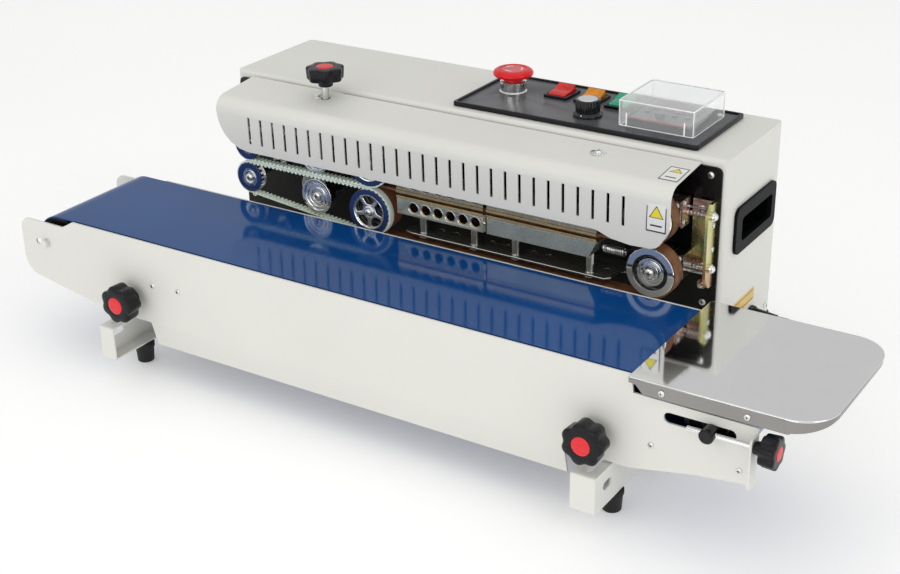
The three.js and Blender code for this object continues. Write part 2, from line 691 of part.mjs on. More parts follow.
function feedTray() {
  const { left, right, front, back, top, skirt, corner, sheet } = TRAY;
  const plan = (inset) => outline([
    [left + (inset ? -1 : 0), front + inset], [right - inset, front + inset, corner - inset],
    [right - inset, back - inset, corner - inset], [left + (inset ? -1 : 0), back - inset],
  ], 6);
  const shell = cut(
    prism('z', plan(0), top - skirt, top),
    prism('z', plan(sheet), top - skirt - 1, top - sheet),
  );
  const trim = prism('y', outline([
    [left - 1, top - skirt - 1], [left - 1, top - 6], [left + 6, top - 6 - 0.01, 4], [left + 14,
      top - skirt - 1, 0],
  ], 4), front - 1, back + 1);
  const endTrim = box(right - corner + 4, right + 1, front - 1, back + 1, top - skirt - 1, top - 7);
  return cut(shell, trim, endTrim);
}

const beltPath = (x) => ({ x, z: ROLLER.z, radius: ROLLER.radius });

// ---------------------------------------------------------------- arms and feet
// A channel arm with a closed front end, a clamp slot on top and a bore in its web.
function arm({ outer, inner }) {
  const { front, back, bottom, top } = ARM;
  const sign = Math.sign(inner - outer);
  const [x0, x1] = [Math.min(outer, inner), Math.max(outer, inner)];
  const [h0, h1] = sign > 0 ? [outer + SHEET, inner + 1] : [inner - 1, outer - SHEET];
  const middle = (x0 + x1) / 2;
  return cut(
    prism('x', rectangle(front, back, bottom, top, 2), x0, x1),
    box(Math.min(h0, h1), Math.max(h0, h1), front + SHEET, back + 1, bottom + SHEET, top - SHEET),
    prism('z', slot(middle, front + 12, middle, -170, 3.2), top - 4, top + 1),
    prism('x', slot(-228, 42, -220, 42, 4), outer - 3, outer + 3),
  );
}

// Upright clamp bracket on an arm: it slides along the arm, and the conveyor slides up on it.
function clampBracket(x, left, right) {
  const front = CONVEYOR.frontY + SHEET + GAP;
  const profile = outline([
    [front, ARM.top + GAP], [-172, ARM.top + GAP], [-172, ARM.top + GAP + 3], [front + 3,
      ARM.top + GAP + 3, 2],
    [front + 3, 116], [front, 116],
  ], 3);
  return cut(
    prism('x', profile, left, right),
    prism('y', slot(x, CLAMP.z, x, CLAMP.z + CLAMP.travel, 4.4), front - 1, front + 4),
  );
}

function clampHandle(x) {
  return join(
    starHandle('y', x, CLAMP.z, -220, -28, 20, 7),
    rod('y', x, CLAMP.z, 4, -221, -212.7, 16),
  );
}

function foot(x, y) {
  return rod('z', x, y, FOOT.bottomRadius, 0, FOOT.height - GAP, 20, FOOT.topRadius);
}

// ---------------------------------------------------------------- mains cord
const CORD_ROUTE = [
  [34.2, 78, 76], [42, 78, 76], [53.5, 78.8, 73.7], [63.2, 80.5, 67.2], [69.7, 83, 57.5], [72, 86, 46],
  [71.5, 88.5, 35.9], [68.9, 91.9, 19.9], [61.9, 101.3, 8.2], [52.3, 114.1, 3.9], [39.3, 124.8, 3.9],
  [22.9, 128.7, 3.9], [0, 128.7, 3.9], [-32, 128.7, 3.9], [-66, 128.7, 3.9],
];

function cordTube() {
  const points = CORD_ROUTE.map(([x, y, z]) => new THREE.Vector3(x, y, z));
  const path = new THREE.CatmullRomCurve3(points, false, 'centripetal');
  const section = new THREE.Shape(Array.from({ length: 10 }, (_, i) => (
    new THREE.Vector2(CORD.radius * Math.cos((Math.PI * i) / 5),
      CORD.radius * Math.sin((Math.PI * i) / 5))
  )));
  return solid(new THREE.ExtrudeGeometry(section, { steps: 30, bevelEnabled: false,
    extrudePath: path }));
}

function gland() {
  const x0 = CABINET.right;
  return join(
    rod('x', CORD.exitY, CORD.exitZ, 6, x0 - 8, x0 + 1, 18),
    rod('x', CORD.exitY, CORD.exitZ, 8.5, x0 + GAP, x0 + 5, 6),
    rod('x', CORD.exitY, CORD.exitZ, 6, x0 + 4, x0 + 3 + CORD.bootLength, 18, 4.4),
  );
}

function plug() {
  const { left, right, y, z, size, pinGap } = PLUG;
  const pins = [-1, 1].map((side) => rod('x', y + side * pinGap / 2, z, 2.4, left - 19, left + 1, 12));
  return join(
    prism('x', rectangle(y - size / 2, y + size / 2, z - size / 2, z + size / 2, 8), left, right),
    rod('x', y, z, 6, right - 1, right + 20, 16, 4.4),
    ...pins,
  );
}

// ---------------------------------------------------------------- the machine
addPart('cabinet_shell', cabinetShell(), 'cream');
addPart('front_plate', frontPlate(), 'blackSteel');
addPart('base_plate', basePlate(), 'steel');
addPart('side_handle', sideHandle(), 'blackPlastic');
addPart('control_panel', controlPanel(), 'blackPlastic');
addPart('guard_cover', guardCover(), 'cream');
addPart('gear_motor', gearMotor(), 'aluminium');

addPart('stop_button', stopButton(), 'red');
Object.entries(SWITCH_X).forEach(([name, x]) => {
  addPart(name, rockerSwitch(x), { red_switch: 'red', amber_switch: 'amber',
    green_switch: 'green' }[name]);
});
addPart('speed_dial', speedDial(), 'blackPlastic');
addPart('controller_cover', controllerCover(), 'clear');

Object.entries(LEVELS).forEach(([name, side]) => {
  const wheelZ = level(side, wheelDrop);
  addPart(`${name}_cooling_block`, sealingBlock(side, BLOCK.coolLeft, BLOCK.coolRight, 6, 0),
    'aluminium');
  addPart(`${name}_heating_block`, sealingBlock(side, BLOCK.heatLeft, BLOCK.heatRight, 0, 8), 'brass');
  addPart(`${name}_drive_pulley`, drivePulley(side), 'blueAnodised');
  addPart(`${name}_drive_wheel`, driveWheel(side), 'rubber');
  addPart(`${name}_idle_pulley`, idlePulley(side), 'blueAnodised');
  addPart(`${name}_press_wheel`, pressWheel(side), 'steel');
  addPart(`${name}_band_carrier`, bandCarrier(side), 'steel');
  addPart(`${name}_band_wheel`, bandWheel(side), 'steel');
  const wheel = (x) => ({ x, z: wheelZ, radius: BAND.wheelRadius });
  addPart(`${name}_sealing_band`, beltLoop(
    wheel(BAND_WHEEL.leftX), wheel(bandWheelX(side)), GAP, BAND.thickness, BAND.front, BAND.back,
  ), 'brown');
  addPart(`${name}_guide_belt`, beltLoop(
    { x: TOOTHED.smallX, z: level(side, smallDrop), radius: TOOTHED.smallRadius },
    { x: BAND_WHEEL.leftX, z: wheelZ, radius: TOOTHED.bigRadius }, GAP, TOOTHED.thickness,
      TOOTHED.front, TOOTHED.back,
  ), 'paleGreen');
});
addPart('press_lift', pressLift(), 'steel');
addPart('pressure_knob', starHandle('z', LIFT.x, LIFT.y, LIFT.knobBase, 21, 20, 7),
  'blackPlastic');
addPart('block_shelf', blockShelf(), 'mirror');
addPart('tension_bracket', tensionBracket(), 'zinc');

addPart('conveyor_front_plate', conveyorPlate(true), 'cream');
addPart('conveyor_rear_plate', conveyorPlate(false), 'cream');
addPart('conveyor_bed', conveyorBed(), 'steel');
addPart('conveyor_belt', beltLoop(
  beltPath(ROLLER.leftX), beltPath(ROLLER.rightX), BELT.clearance, BELT.thickness, BELT.front, BELT.back,
), 'beltBlue');
addPart('exit_roller', roller(ROLLER.leftX, EXIT_AXLE + GAP), 'blackPlastic');
addPart('feed_roller', roller(ROLLER.rightX, 4.5 + GAP), 'blackPlastic');
addPart('feed_roller_axle', rollerAxle(), 'blackSteel');
addPart('tension_knob', join(
  starHandle('x', -225, ROLLER.z, 132.5, 21, 14.5, 7), rod('x', -225, ROLLER.z, 2.5, 74, 134, 14),
), 'blackPlastic');
addPart('feed_tray', feedTray(), 'mirror');
addPart('left_clamp_bracket', clampBracket(CLAMP.leftX, LEFT_ARM.outer + 1, CLAMP.leftX + 11), 'cream');
addPart('right_clamp_bracket', clampBracket(CLAMP.rightX, CLAMP.rightX - 11, CLAMP.rightX + 11),
  'cream');
addPart('left_clamp_knob', clampHandle(CLAMP.leftX), 'blackPlastic');
addPart('right_clamp_knob', clampHandle(CLAMP.rightX), 'blackPlastic');

addPart('left_arm', arm(LEFT_ARM), 'cream');
addPart('right_arm', arm(RIGHT_ARM), 'cream');
[['left', LEFT_ARM, 2], ['right', RIGHT_ARM, 4]].forEach(([name, { outer, inner }, shift]) => {
  const x = (outer + inner) / 2 + shift;
  addPart(`${name}_front_foot`, foot(x, FOOT.frontY), 'rubber');
  addPart(`${name}_rear_foot`, foot(x, FOOT.rearY), 'rubber');
});

addPart('cord_gland', gland(), 'blackPlastic');
addPart('mains_cord', cordTube(), 'rubber');
addPart('cord_coil', solid(new THREE.LatheGeometry([
  [COIL.innerRadius, 0.1], [COIL.outerRadius, 0.1], [COIL.outerRadius, COIL.height],
    [COIL.innerRadius, COIL.height],
  [COIL.innerRadius, 0.1],
].map(([radius, y]) => new THREE.Vector2(radius, y)), 28).rotateX(Math.PI / 2).translate(COIL.x,
  COIL.y, 0)), 'rubber');
addPart('mains_plug', plug(), 'blackPlastic');

export default model;
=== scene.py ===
"""Looks of a bench-top continuous band sealer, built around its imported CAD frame.

Positions are in machine millimetres: X from the front plate's right edge towards the feed end, Y from
the cabinet's front towards its back, Z from the bench. They are worked out from the CAD nodes' boxes.
"""
import json
import math

import bmesh
import bpy
from mathutils import Matrix, Vector


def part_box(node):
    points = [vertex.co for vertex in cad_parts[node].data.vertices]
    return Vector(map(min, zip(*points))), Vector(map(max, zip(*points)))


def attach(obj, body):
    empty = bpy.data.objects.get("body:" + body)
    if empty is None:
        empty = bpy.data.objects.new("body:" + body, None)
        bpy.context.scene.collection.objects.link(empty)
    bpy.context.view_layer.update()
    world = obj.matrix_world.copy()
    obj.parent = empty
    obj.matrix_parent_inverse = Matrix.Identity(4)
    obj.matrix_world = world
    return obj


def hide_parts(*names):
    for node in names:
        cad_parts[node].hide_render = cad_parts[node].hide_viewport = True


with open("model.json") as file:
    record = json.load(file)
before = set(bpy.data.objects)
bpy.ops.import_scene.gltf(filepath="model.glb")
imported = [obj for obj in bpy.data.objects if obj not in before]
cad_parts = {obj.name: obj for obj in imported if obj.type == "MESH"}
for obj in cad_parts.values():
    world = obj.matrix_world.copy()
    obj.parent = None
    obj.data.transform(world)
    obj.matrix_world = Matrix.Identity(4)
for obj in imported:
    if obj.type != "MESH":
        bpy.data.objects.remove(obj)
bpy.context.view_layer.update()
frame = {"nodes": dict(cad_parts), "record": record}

_low, _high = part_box("cabinet_shell")
DATUM = Vector((_high.x - 0.004, _low.y, 0.0))
TAU = 2 * math.pi


def metres(x, y, z):
    return DATUM + Vector((x, y, z)) / 1000


def ends(node):
    """The lowest and highest corners of a CAD node, in machine millimetres."""
    low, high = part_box(node)
    return (low - DATUM) * 1000, (high - DATUM) * 1000


def middle(node):
    low, high = ends(node)
    return (low + high) / 2


# ------------------------------------------------------------------ camera
def add_camera():
    yaw, pitch, roll = (math.radians(a) for a in (33.040, 25.172, -1.078))
    forward = Vector((-math.sin(yaw) * math.cos(pitch), math.cos(yaw) * math.cos(pitch), -math.sin(pitch)))
    level = Vector((math.cos(yaw), math.sin(yaw), 0))
    upright = level.cross(forward)
    right = math.cos(roll) * level + math.sin(roll) * upright
    up = math.cos(roll) * upright - math.sin(roll) * level
    data = bpy.data.cameras.new("camera")
    data.sensor_width = 36
    data.lens = 61.96
    data.clip_end = 50
    camera = bpy.data.objects.new("camera", data)
    turn = Matrix((right, up, -forward)).transposed().to_4x4()
    camera.matrix_world = Matrix.Translation(metres(504.8, -1233.6, 755.5)) @ turn
    bpy.context.collection.objects.link(camera)
    bpy.context.scene.camera = camera


add_camera()


# ------------------------------------------------------------------ materials
def nodes_of(name):
    material = bpy.data.materials.new(name)
    material.use_nodes = True
    tree = material.node_tree
    return material, tree, tree.nodes["Principled BSDF"]


def noise(tree, scale, stretch=(1, 1, 1), detail=4):
    """A noise texture in the piece's own coordinates, with features about 1 / scale metres wide."""
    place = tree.nodes.new("ShaderNodeTexCoord")
    mapping = tree.nodes.new("ShaderNodeMapping")
    mapping.inputs["Scale"].default_value = stretch
    texture = tree.nodes.new("ShaderNodeTexNoise")
    texture.inputs["Scale"].default_value = scale
    texture.inputs["Detail"].default_value = detail
    tree.links.new(place.outputs["Object"], mapping.inputs["Vector"])
    tree.links.new(mapping.outputs["Vector"], texture.inputs["Vector"])
    return texture


def ramp(tree, source, stops):
    """Colours or greys along a texture's value: stops are (place, colour)."""
    node = tree.nodes.new("ShaderNodeValToRGB")
    elements = node.color_ramp.elements
    while len(elements) < len(stops):
        elements.new(0.5)
    for element, (place, colour) in zip(elements, stops):
        element.position = place
        element.color = (*colour, 1)
    tree.links.new(source, node.inputs["Fac"])
    return node.outputs["Color"]


def bump(tree, shader, height, strength, distance):
    node = tree.nodes.new("ShaderNodeBump")
    node.inputs["Strength"].default_value = strength
    node.inputs["Distance"].default_value = distance
    tree.links.new(height, node.inputs["Height"])
    tree.links.new(node.outputs["Normal"], shader.inputs["Normal"])


def surface(name, colour, rough, metal=0.0, vary=0.06, patch=25, grain=900, grain_depth=0.05,
    stretch=(1, 1, 1), rough_vary=0.06, coat=0.0, clear=0.0, ior=1.5, glow=0.0, tint=(1, 1, 1)):
    """A finish with slow colour patches, uneven gloss and a fine grain."""
    material, tree, shader = nodes_of(name)
    patches = noise(tree, patch)
    darker = [c * (1 - vary) for c in colour]
    lighter = [min(1, c * (1 + vary)) for c in colour]
    tree.links.new(ramp(tree, patches.outputs["Fac"], [(0.35, darker), (0.65, lighter)]),
        shader.inputs["Base Color"])
    fine = noise(tree, grain, stretch, 6)
    low, high = max(0.02, rough - rough_vary), min(1, rough + rough_vary)
    tree.links.new(ramp(tree, fine.outputs["Fac"], [(0.3, (low,) * 3), (0.7, (high,) * 3)]),
        shader.inputs["Roughness"])
    bump(tree, shader, fine.outputs["Fac"], grain_depth, 0.0004)
    shader.inputs["Metallic"].default_value = metal
    shader.inputs["IOR"].default_value = ior
    shader.inputs["Coat Weight"].default_value = coat
    shader.inputs["Coat Roughness"].default_value = 0.06
    shader.inputs["Transmission Weight"].default_value = clear
    shader.inputs["Specular Tint"].default_value = (*tint, 1)
    shader.inputs["Emission Color"].default_value = (1, 1, 1, 1)
    shader.inputs["Emission Strength"].default_value = glow
    return material


BRUSHED_X = (0.04, 1, 1)
TURNED = (1, 0.05, 1)
PAINT = surface("cream_paint", (0.74, 0.735, 0.69), 0.4, vary=0.012, patch=6, grain=1400, grain_depth=0.06)
BLACK_PAINT = surface("black_paint", (0.004, 0.004, 0.0045), 0.2, vary=0.3, grain=1200, ior=1.42)
PANEL = surface("panel_film", (0.068, 0.071, 0.082), 0.3, vary=0.1, grain=1600, grain_depth=0.12)
PLASTIC = surface("black_plastic", (0.005, 0.005, 0.007), 0.27, vary=0.25, grain=900, grain_depth=0.06,
    ior=1.34)
GLOSS_BLACK = surface("gloss_black", (0.004, 0.004, 0.005), 0.1, vary=0.2, coat=0.4)
RUBBER = surface("black_rubber", (0.01, 0.01, 0.01), 0.6, vary=0.3, grain=600, grain_depth=0.3, ior=1.4)
HANDLE_BLACK = surface("handle_plastic", (0.003, 0.004, 0.005), 0.5, vary=0.2, grain=700, grain_depth=0.12,
    ior=1.2)
# a darker copy of the tray's steel for its upright faces: painted shade
SHADED_SIDE_STEEL = surface("shaded_side_steel", (0.3, 0.29, 0.28), 0.13, 1, vary=0.06, patch=12, stretch=BRUSHED_X,
    rough_vary=0.04)
CHROME = surface("chrome", (0.82, 0.825, 0.82), 0.09, 1, vary=0.03, rough_vary=0.04, grain_depth=0.02)
ZINC_WHITE = surface("zinc_screw", (0.78, 0.78, 0.75), 0.3, 1, vary=0.05, rough_vary=0.08)
STEEL = surface("turned_steel", (0.6, 0.6, 0.59), 0.22, 1, stretch=TURNED, rough_vary=0.1)
SHEET = surface("sheet_steel", (0.5, 0.5, 0.49), 0.35, 1, stretch=BRUSHED_X, rough_vary=0.12)
MIRROR = surface("mirror_steel", (0.8, 0.8, 0.81), 0.055, 1, vary=0.015, stretch=BRUSHED_X, rough_vary=0.03,
    grain_depth=0.01)
DARK_MIRROR = surface("shelf_steel", (0.12, 0.118, 0.1), 0.24, 0.55, stretch=BRUSHED_X, rough_vary=0.05)
ALUMINIUM = surface("milled_aluminium", (0.47, 0.48, 0.4), 0.3, 0.65, vary=0.1, patch=90, stretch=BRUSHED_X,
    rough_vary=0.1)
HEAT_FACE = surface("heated_aluminium", (0.56, 0.56, 0.44), 0.24, 0.8, vary=0.16, patch=22, grain=1600,
    rough_vary=0.08)
BRASS = surface("brass", (0.72, 0.57, 0.3), 0.24, 1, vary=0.08, patch=60, stretch=BRUSHED_X,
    rough_vary=0.08, grain_depth=0.02)
PINK_ZINC = surface("copper_zinc", (0.74, 0.55, 0.48), 0.3, 1, vary=0.12, patch=70, rough_vary=0.1)
BLUE = surface("blue_flange", (0.015, 0.04, 0.15), 0.2, 0.3, vary=0.1, coat=0.4)
BELT_PU = surface("pale_belt", (0.78, 0.88, 0.77), 0.5, vary=0.06, patch=150, grain=1500, grain_depth=0.2)
PTFE = surface("ptfe_band", (0.2, 0.085, 0.04), 0.34, vary=0.25, patch=140, grain=2200, grain_depth=0.3)
SILICONE = surface("silicone_tyre", (0.33, 0.12, 0.06), 0.5, vary=0.1)
BELT_BLUE = surface("blue_belt", (0.003, 0.055, 0.215), 0.085, vary=0.1, patch=5, grain=500,
    grain_depth=0.01, rough_vary=0.03, ior=1.42, tint=(0.55, 0.75, 1))
RED = surface("red_plastic", (0.7, 0.008, 0.012), 0.24, vary=0.05, ior=1.38)
# a lighter, pinker red for the stop button's concave top: painted highlight
SHEEN_RED_TOP = surface("sheen_red_top", (0.66, 0.1, 0.1), 0.35, vary=0.05)
CAP_RED = surface("cap_red", (0.75, 0.012, 0.02), 0.3, vary=0.05)
LENS_RED = surface("red_lens", (0.75, 0.015, 0.015), 0.14, vary=0.2, patch=120, clear=0.2, ior=1.4)
LENS_AMBER = surface("amber_lens", (0.85, 0.3, 0.005), 0.14, vary=0.15, patch=120, clear=0.2, ior=1.4)
LENS_GREEN = surface("green_lens", (0.005, 0.48, 0.27), 0.14, vary=0.15, patch=120, clear=0.2, ior=1.4)
LENS_DARK = surface("dark_lens", (0.12, 0.01, 0.01), 0.15, vary=0.2, patch=120)
SILVER_CAP = surface("silver_cap", (0.75, 0.75, 0.75), 0.25, 1, stretch=TURNED)
GREY_PLASTIC = surface("grey_plastic", (0.16, 0.18, 0.19), 0.35, vary=0.1)
LABEL_WHITE = surface("label_white", (0.8, 0.8, 0.78), 0.4, vary=0.02)
LABEL_YELLOW = surface("label_yellow", (0.78, 0.66, 0.03), 0.4, vary=0.05)
LABEL_GOLD = surface("label_gold", (0.75, 0.5, 0.12), 0.35, vary=0.06)
INK = surface("ink", (0.01, 0.01, 0.01), 0.5, vary=0.2)
BLACK_WIRE = surface("wire_sleeve", (0.02, 0.02, 0.02), 0.45, vary=0.2)
# white strips that glow a little: painted highlights along the clear cover's edges
GLOWING_EDGE_HIGHLIGHT = surface("painted_edge_highlight", (0.92, 0.94, 0.94), 0.15, vary=0.03, glow=0.22)


def clear_acrylic():
    material, tree, shader = nodes_of("clear_acrylic")
    fine = noise(tree, 60)
    tree.links.new(ramp(tree, fine.outputs["Fac"], [(0.3, (0.93, 0.95, 0.95)), (0.7, (0.98, 0.99, 0.99))]),
        shader.inputs["Base Color"])
    tree.links.new(ramp(tree, fine.outputs["Fac"], [(0.3, (0.02,) * 3), (0.7, (0.06,) * 3)]),
        shader.inputs["Roughness"])
    shader.inputs["Transmission Weight"].default_value = 0.9
    # a faint white glow brightens the cover: painted light
    shader.inputs["Emission Color"].default_value = (1, 1, 1, 1)
    shader.inputs["Emission Strength"].default_value = 0.05
    shader.inputs["IOR"].default_value = 1.49
    return material


def yellow_zinc():
    """Chromated steel: yellow with green and pink clouds."""
    material, tree, shader = nodes_of("yellow_zinc")
    clouds = noise(tree, 24, (1, 1, 1), 1)
    colours = [(0.3, (0.55, 0.3, 0.22)), (0.42, (0.7, 0.55, 0.2)), (0.52, (0.62, 0.66, 0.28)),
        (0.62, (0.72, 0.62, 0.3)), (0.75, (0.5, 0.55, 0.45))]
    tree.links.new(ramp(tree, clouds.outputs["Fac"], colours), shader.inputs["Base Color"])
    fine = noise(tree, 500)
    tree.links.new(ramp(tree, fine.outputs["Fac"], [(0.3, (0.2,) * 3), (0.7, (0.28,) * 3)]),
        shader.inputs["Roughness"])
    bump(tree, shader, fine.outputs["Fac"], 0.015, 0.0004)
    shader.inputs["Metallic"].default_value = 1
    return material


ACRYLIC = clear_acrylic()
ZINC = yellow_zinc()


# ------------------------------------------------------------------ mesh building
class Piece:
    """One object made of many closed shapes, each with its own material, in machine millimetres."""

    def __init__(self, name, body, bevel=0.35):
        self.name, self.body, self.bevel = name, body, bevel
        self.mesh = bmesh.new()
        self.materials = []

    def add(self, points, faces, material):
        if material not in self.materials:
            self.materials.append(material)
        index = self.materials.index(material)
        corners = [self.mesh.verts.new(p) for p in points]
        made = []
        for face in faces:
            made.append(self.mesh.faces.new([corners[i] for i in face]))
            made[-1].material_index = index
        bmesh.ops.recalc_face_normals(self.mesh, faces=made)
        return self

    def box(self, x0, x1, y0, y1, z0, z1, material):
        points = [(x, y, z) for x in (x0, x1) for y in (y0, y1) for z in (z0, z1)]
        faces = [(0, 1, 3, 2), (4, 6, 7, 5), (0, 4, 5, 1), (2, 3, 7, 6), (0, 2, 6, 4), (1, 5, 7, 3)]
        return self.add(points, faces, material)

    def lathe(self, axis, centre, profile, material, sides=64, start=0.0):
        """Turns (radius, place along axis from start) pairs round an axis; a profile off it is closed."""
        on_axis = profile[0][0] < 1e-6
        rings, points = [], []
        for radius, along in profile:
            along += start
            if radius < 1e-6:
                rings.append([len(points)])
                points.append(turn_to(axis, centre, 0, 0, along))
                continue
            rings.append(list(range(len(points), len(points) + sides)))
            for k in range(sides):
                angle = TAU * k / sides
                points.append(turn_to(axis, centre, radius * math.cos(angle), radius * math.sin(angle),
                    along))
        pairs = list(zip(rings, rings[1:]))
        if not on_axis:
            pairs.append((rings[-1], rings[0]))
        faces = []
        for a, b in pairs:
            for k in range(sides):
                n = (k + 1) % sides
                if len(a) == 1 and len(b) == 1:
                    continue
                if len(a) == 1:
                    faces.append((a[0], b[n], b[k]))
                elif len(b) == 1:
                    faces.append((a[k], a[n], b[0]))
                else:
                    faces.append((a[k], a[n], b[n], b[k]))
        return self.add(points, faces, material)

    def rod(self, axis, centre, radius, start, end, material, sides=32, chamfer=0.3):
        c = min(chamfer, radius / 3, abs(end - start) / 3) * (1 if end > start else -1)
        profile = [(0, start), (radius - abs(c), start), (radius, start + c), (radius, end - c),
            (radius - abs(c), end), (0, end)]
        return self.lathe(axis, centre, profile, material, sides)

    def prism(self, axis, outline, start, end, material):
        """Extrudes a closed outline of (u, v) points, given in the two other axes' order."""
        count = len(outline)
        points = [put(axis, u, v, start) for u, v in outline] + [put(axis, u, v, end) for u, v in outline]
        faces = [tuple(range(count)), tuple(range(2 * count - 1, count - 1, -1))]
        faces += [(k, (k + 1) % count, count + (k + 1) % count, count + k) for k in range(count)]
        return self.add(points, faces, material)

    def loop(self, axis, outer, inner, start, end, material):
        """A closed band between two outlines with the same number of points."""
        count = len(outer)
        points = []
        for outline, w in ((outer, start), (outer, end), (inner, end), (inner, start)):
            points += [put(axis, u, v, w) for u, v in outline]
        faces = []
        for ring in range(4):
            after = (ring + 1) % 4
            for k in range(count):
                n = (k + 1) % count
                faces.append((ring * count + k, ring * count + n, after * count + n, after * count + k))
        return self.add(points, faces, material)

    def tube(self, path, radius, material, sides=12):
        """A round wire along points, with closed ends."""
        path = [Vector(p) for p in path]
        points, faces = [], []
        side = None
        for i, here in enumerate(path):
            tangent = (path[min(i + 1, len(path) - 1)] - path[max(i - 1, 0)]).normalized()
            if side is None:
                side = tangent.orthogonal().normalized()
            side = (side - side.dot(tangent) * tangent).normalized()
            other = tangent.cross(side)
            for k in range(sides):
                angle = TAU * k / sides
                points.append(here + radius * (math.cos(angle) * side + math.sin(angle) * other))
        for i in range(len(path) - 1):
            for k in range(sides):
                n = (k + 1) % sides
                faces.append((i * sides + k, i * sides + n, (i + 1) * sides + n, (i + 1) * sides + k))
        faces.append(tuple(range(sides)))
        faces.append(tuple(range(len(points) - 1, len(points) - 1 - sides, -1)))
        return self.add(points, faces, material)

    def cad(self, node, material, merge=True):
        """The CAD node's own shape, with the triangles on its flat faces merged where that is safe."""
        source = bmesh.new()
        source.from_mesh(frame["nodes"][node].data)
        bmesh.ops.remove_doubles(source, verts=source.verts, dist=1e-6)
        if merge:
            bmesh.ops.dissolve_limit(source, angle_limit=math.radians(1), verts=source.verts,
                edges=source.edges)
        source.verts.index_update()
        points = [(v.co - DATUM) * 1000 for v in source.verts]
        self.add(points, [[v.index for v in f.verts] for f in source.faces], material)
        source.free()
        return self

    def done(self, replaces=(), slot=None, angle=32):
        bmesh.ops.transform(self.mesh, matrix=Matrix.Translation(DATUM) @ Matrix.Scale(0.001, 4),
            verts=self.mesh.verts)
        data = bpy.data.meshes.new(self.name)
        self.mesh.to_mesh(data)
        self.mesh.free()
        for material in self.materials:
            data.materials.append(material)
        data.polygons.foreach_set("use_smooth", [True] * len(data.polygons))
        data.set_sharp_from_angle(angle=math.radians(angle))
        obj = bpy.data.objects.new(self.name, data)
        bpy.context.collection.objects.link(obj)
        if self.bevel:
            bevel = obj.modifiers.new("edges", "BEVEL")
            bevel.width = self.bevel / 1000
            bevel.segments = 2
            bevel.limit_method = "ANGLE"
            bevel.angle_limit = math.radians(angle)
            bevel.miter_outer = "MITER_ARC"
            bevel.harden_normals = True
        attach(obj, self.body)
        if replaces:
            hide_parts(*replaces)
        slot or SLOTS.get((replaces or ("",))[0], "steel")
        return obj


SLOTS = {row["node"]: row["material_slot"] for row in frame["record"]["subparts"]}
BODY_OF = {node: body for body, nodes in frame["record"]["behaviour"]["bodies"].items() for node in nodes}


def put(axis, u, v, w):
    return {"x": (w, u, v), "y": (u, w, v), "z": (u, v, w)}[axis]


def turn_to(axis, centre, u, v, w):
    """A point at (u, v) off an axis through centre, w along it; centre is (y, z), (x, z) or (x, y)."""
    return put(axis, centre[0] + u, centre[1] + v, w)


def rounded(u0, u1, v0, v1, radius, steps=6):
    """A rectangle with round corners."""
    result = []
    corners = [(u1 - radius, v1 - radius, 0), (u0 + radius, v1 - radius, 1), (u0 + radius, v0 + radius, 2),
        (u1 - radius, v0 + radius, 3)]
    for u, v, quarter in corners:
        for k in range(steps + 1):
            angle = (quarter + k / steps) * math.pi / 2
            result.append((u + radius * math.cos(angle), v + radius * math.sin(angle)))
    return result


def circle(u, v, radius, sides=48, start=0.0):
    return [(u + radius * math.cos(start + TAU * k / sides), v + radius * math.sin(start + TAU * k / sides))
        for k in range(sides)]


def piece_of(node, bevel):
    """A piece that takes a CAD node's name and rides its body."""
    return Piece(node.replace("_", "-"), BODY_OF[node], bevel)


def plate_with_holes(piece, axis, outer, holes, start, end, material, edge=0.3):
    """A flat plate cut from a filled curve, so that holes stay clean and every rim is rounded."""
    curve = bpy.data.curves.new("outline", "CURVE")
    curve.dimensions = "2D"
    curve.fill_mode = "BOTH"
    for outline in [outer, *holes]:
        spline = curve.splines.new("POLY")
        spline.points.add(len(outline) - 1)
        for point, (u, v) in zip(spline.points, outline):
            point.co = (u, v, 0, 1)
        spline.use_cyclic_u = True
    curve.extrude = abs(end - start) / 2 - edge
    curve.bevel_depth = edge
    curve.bevel_resolution = 1
    curve.offset = -edge
    obj = bpy.data.objects.new("outline", curve)
    flat = bpy.data.meshes.new_from_object(obj)
    centre = (start + end) / 2
    points = [put(axis, v.co.x, v.co.y, centre + v.co.z) for v in flat.vertices]
    merged = bmesh.new()
    corners = [merged.verts.new(p) for p in points]
    for polygon in flat.polygons:
        try:
            merged.faces.new([corners[i] for i in polygon.vertices])
        except ValueError:
            continue
    bmesh.ops.remove_doubles(merged, verts=merged.verts, dist=1e-4)
    merged.verts.index_update()
    piece.add([v.co.copy() for v in merged.verts], [[v.index for v in f.verts] for f in merged.faces],
        material)
    merged.free()
    bpy.data.objects.remove(obj)
    bpy.data.curves.remove(curve)
    bpy.data.meshes.remove(flat)


# ------------------------------------------------------------------ fasteners
def pan_screw(piece, axis, centre, seat, side, radius=3.2, material=None, washer=0.0):
    """A domed cross-head screw on a face: seat is the face's place along the axis, side its direction."""
    material = material or ZINC_WHITE
    base = seat
    if washer:
        piece.lathe(axis, centre, [(radius * 0.5, seat), (washer, seat), (washer, seat + side * 0.7),
            (radius * 0.5, seat + side * 0.7)], material, 32)
        base = seat + side * 0.7
    height = radius * 0.62
    dome = [(0, base), (radius, base), (radius, base + side * height * 0.35)]
    for k in range(1, 5):
        angle = k / 4 * math.pi / 2
        dome.append((radius * math.cos(angle) if k < 4 else 0,
            base + side * height * (0.35 + 0.65 * math.sin(angle))))
    piece.lathe(axis, centre, dome, material, 24)
    arm, thin, top = radius * 0.55, radius * 0.13, base + side * (height + 0.06)
    for along, across in ((arm, thin), (thin, arm)):
        corners = [(centre[0] - along, centre[1] - across), (centre[0] + along, centre[1] - across),
            (centre[0] + along, centre[1] + across), (centre[0] - along, centre[1] + across)]
        piece.prism(axis, corners, base + side * height * 0.6, top, INK)


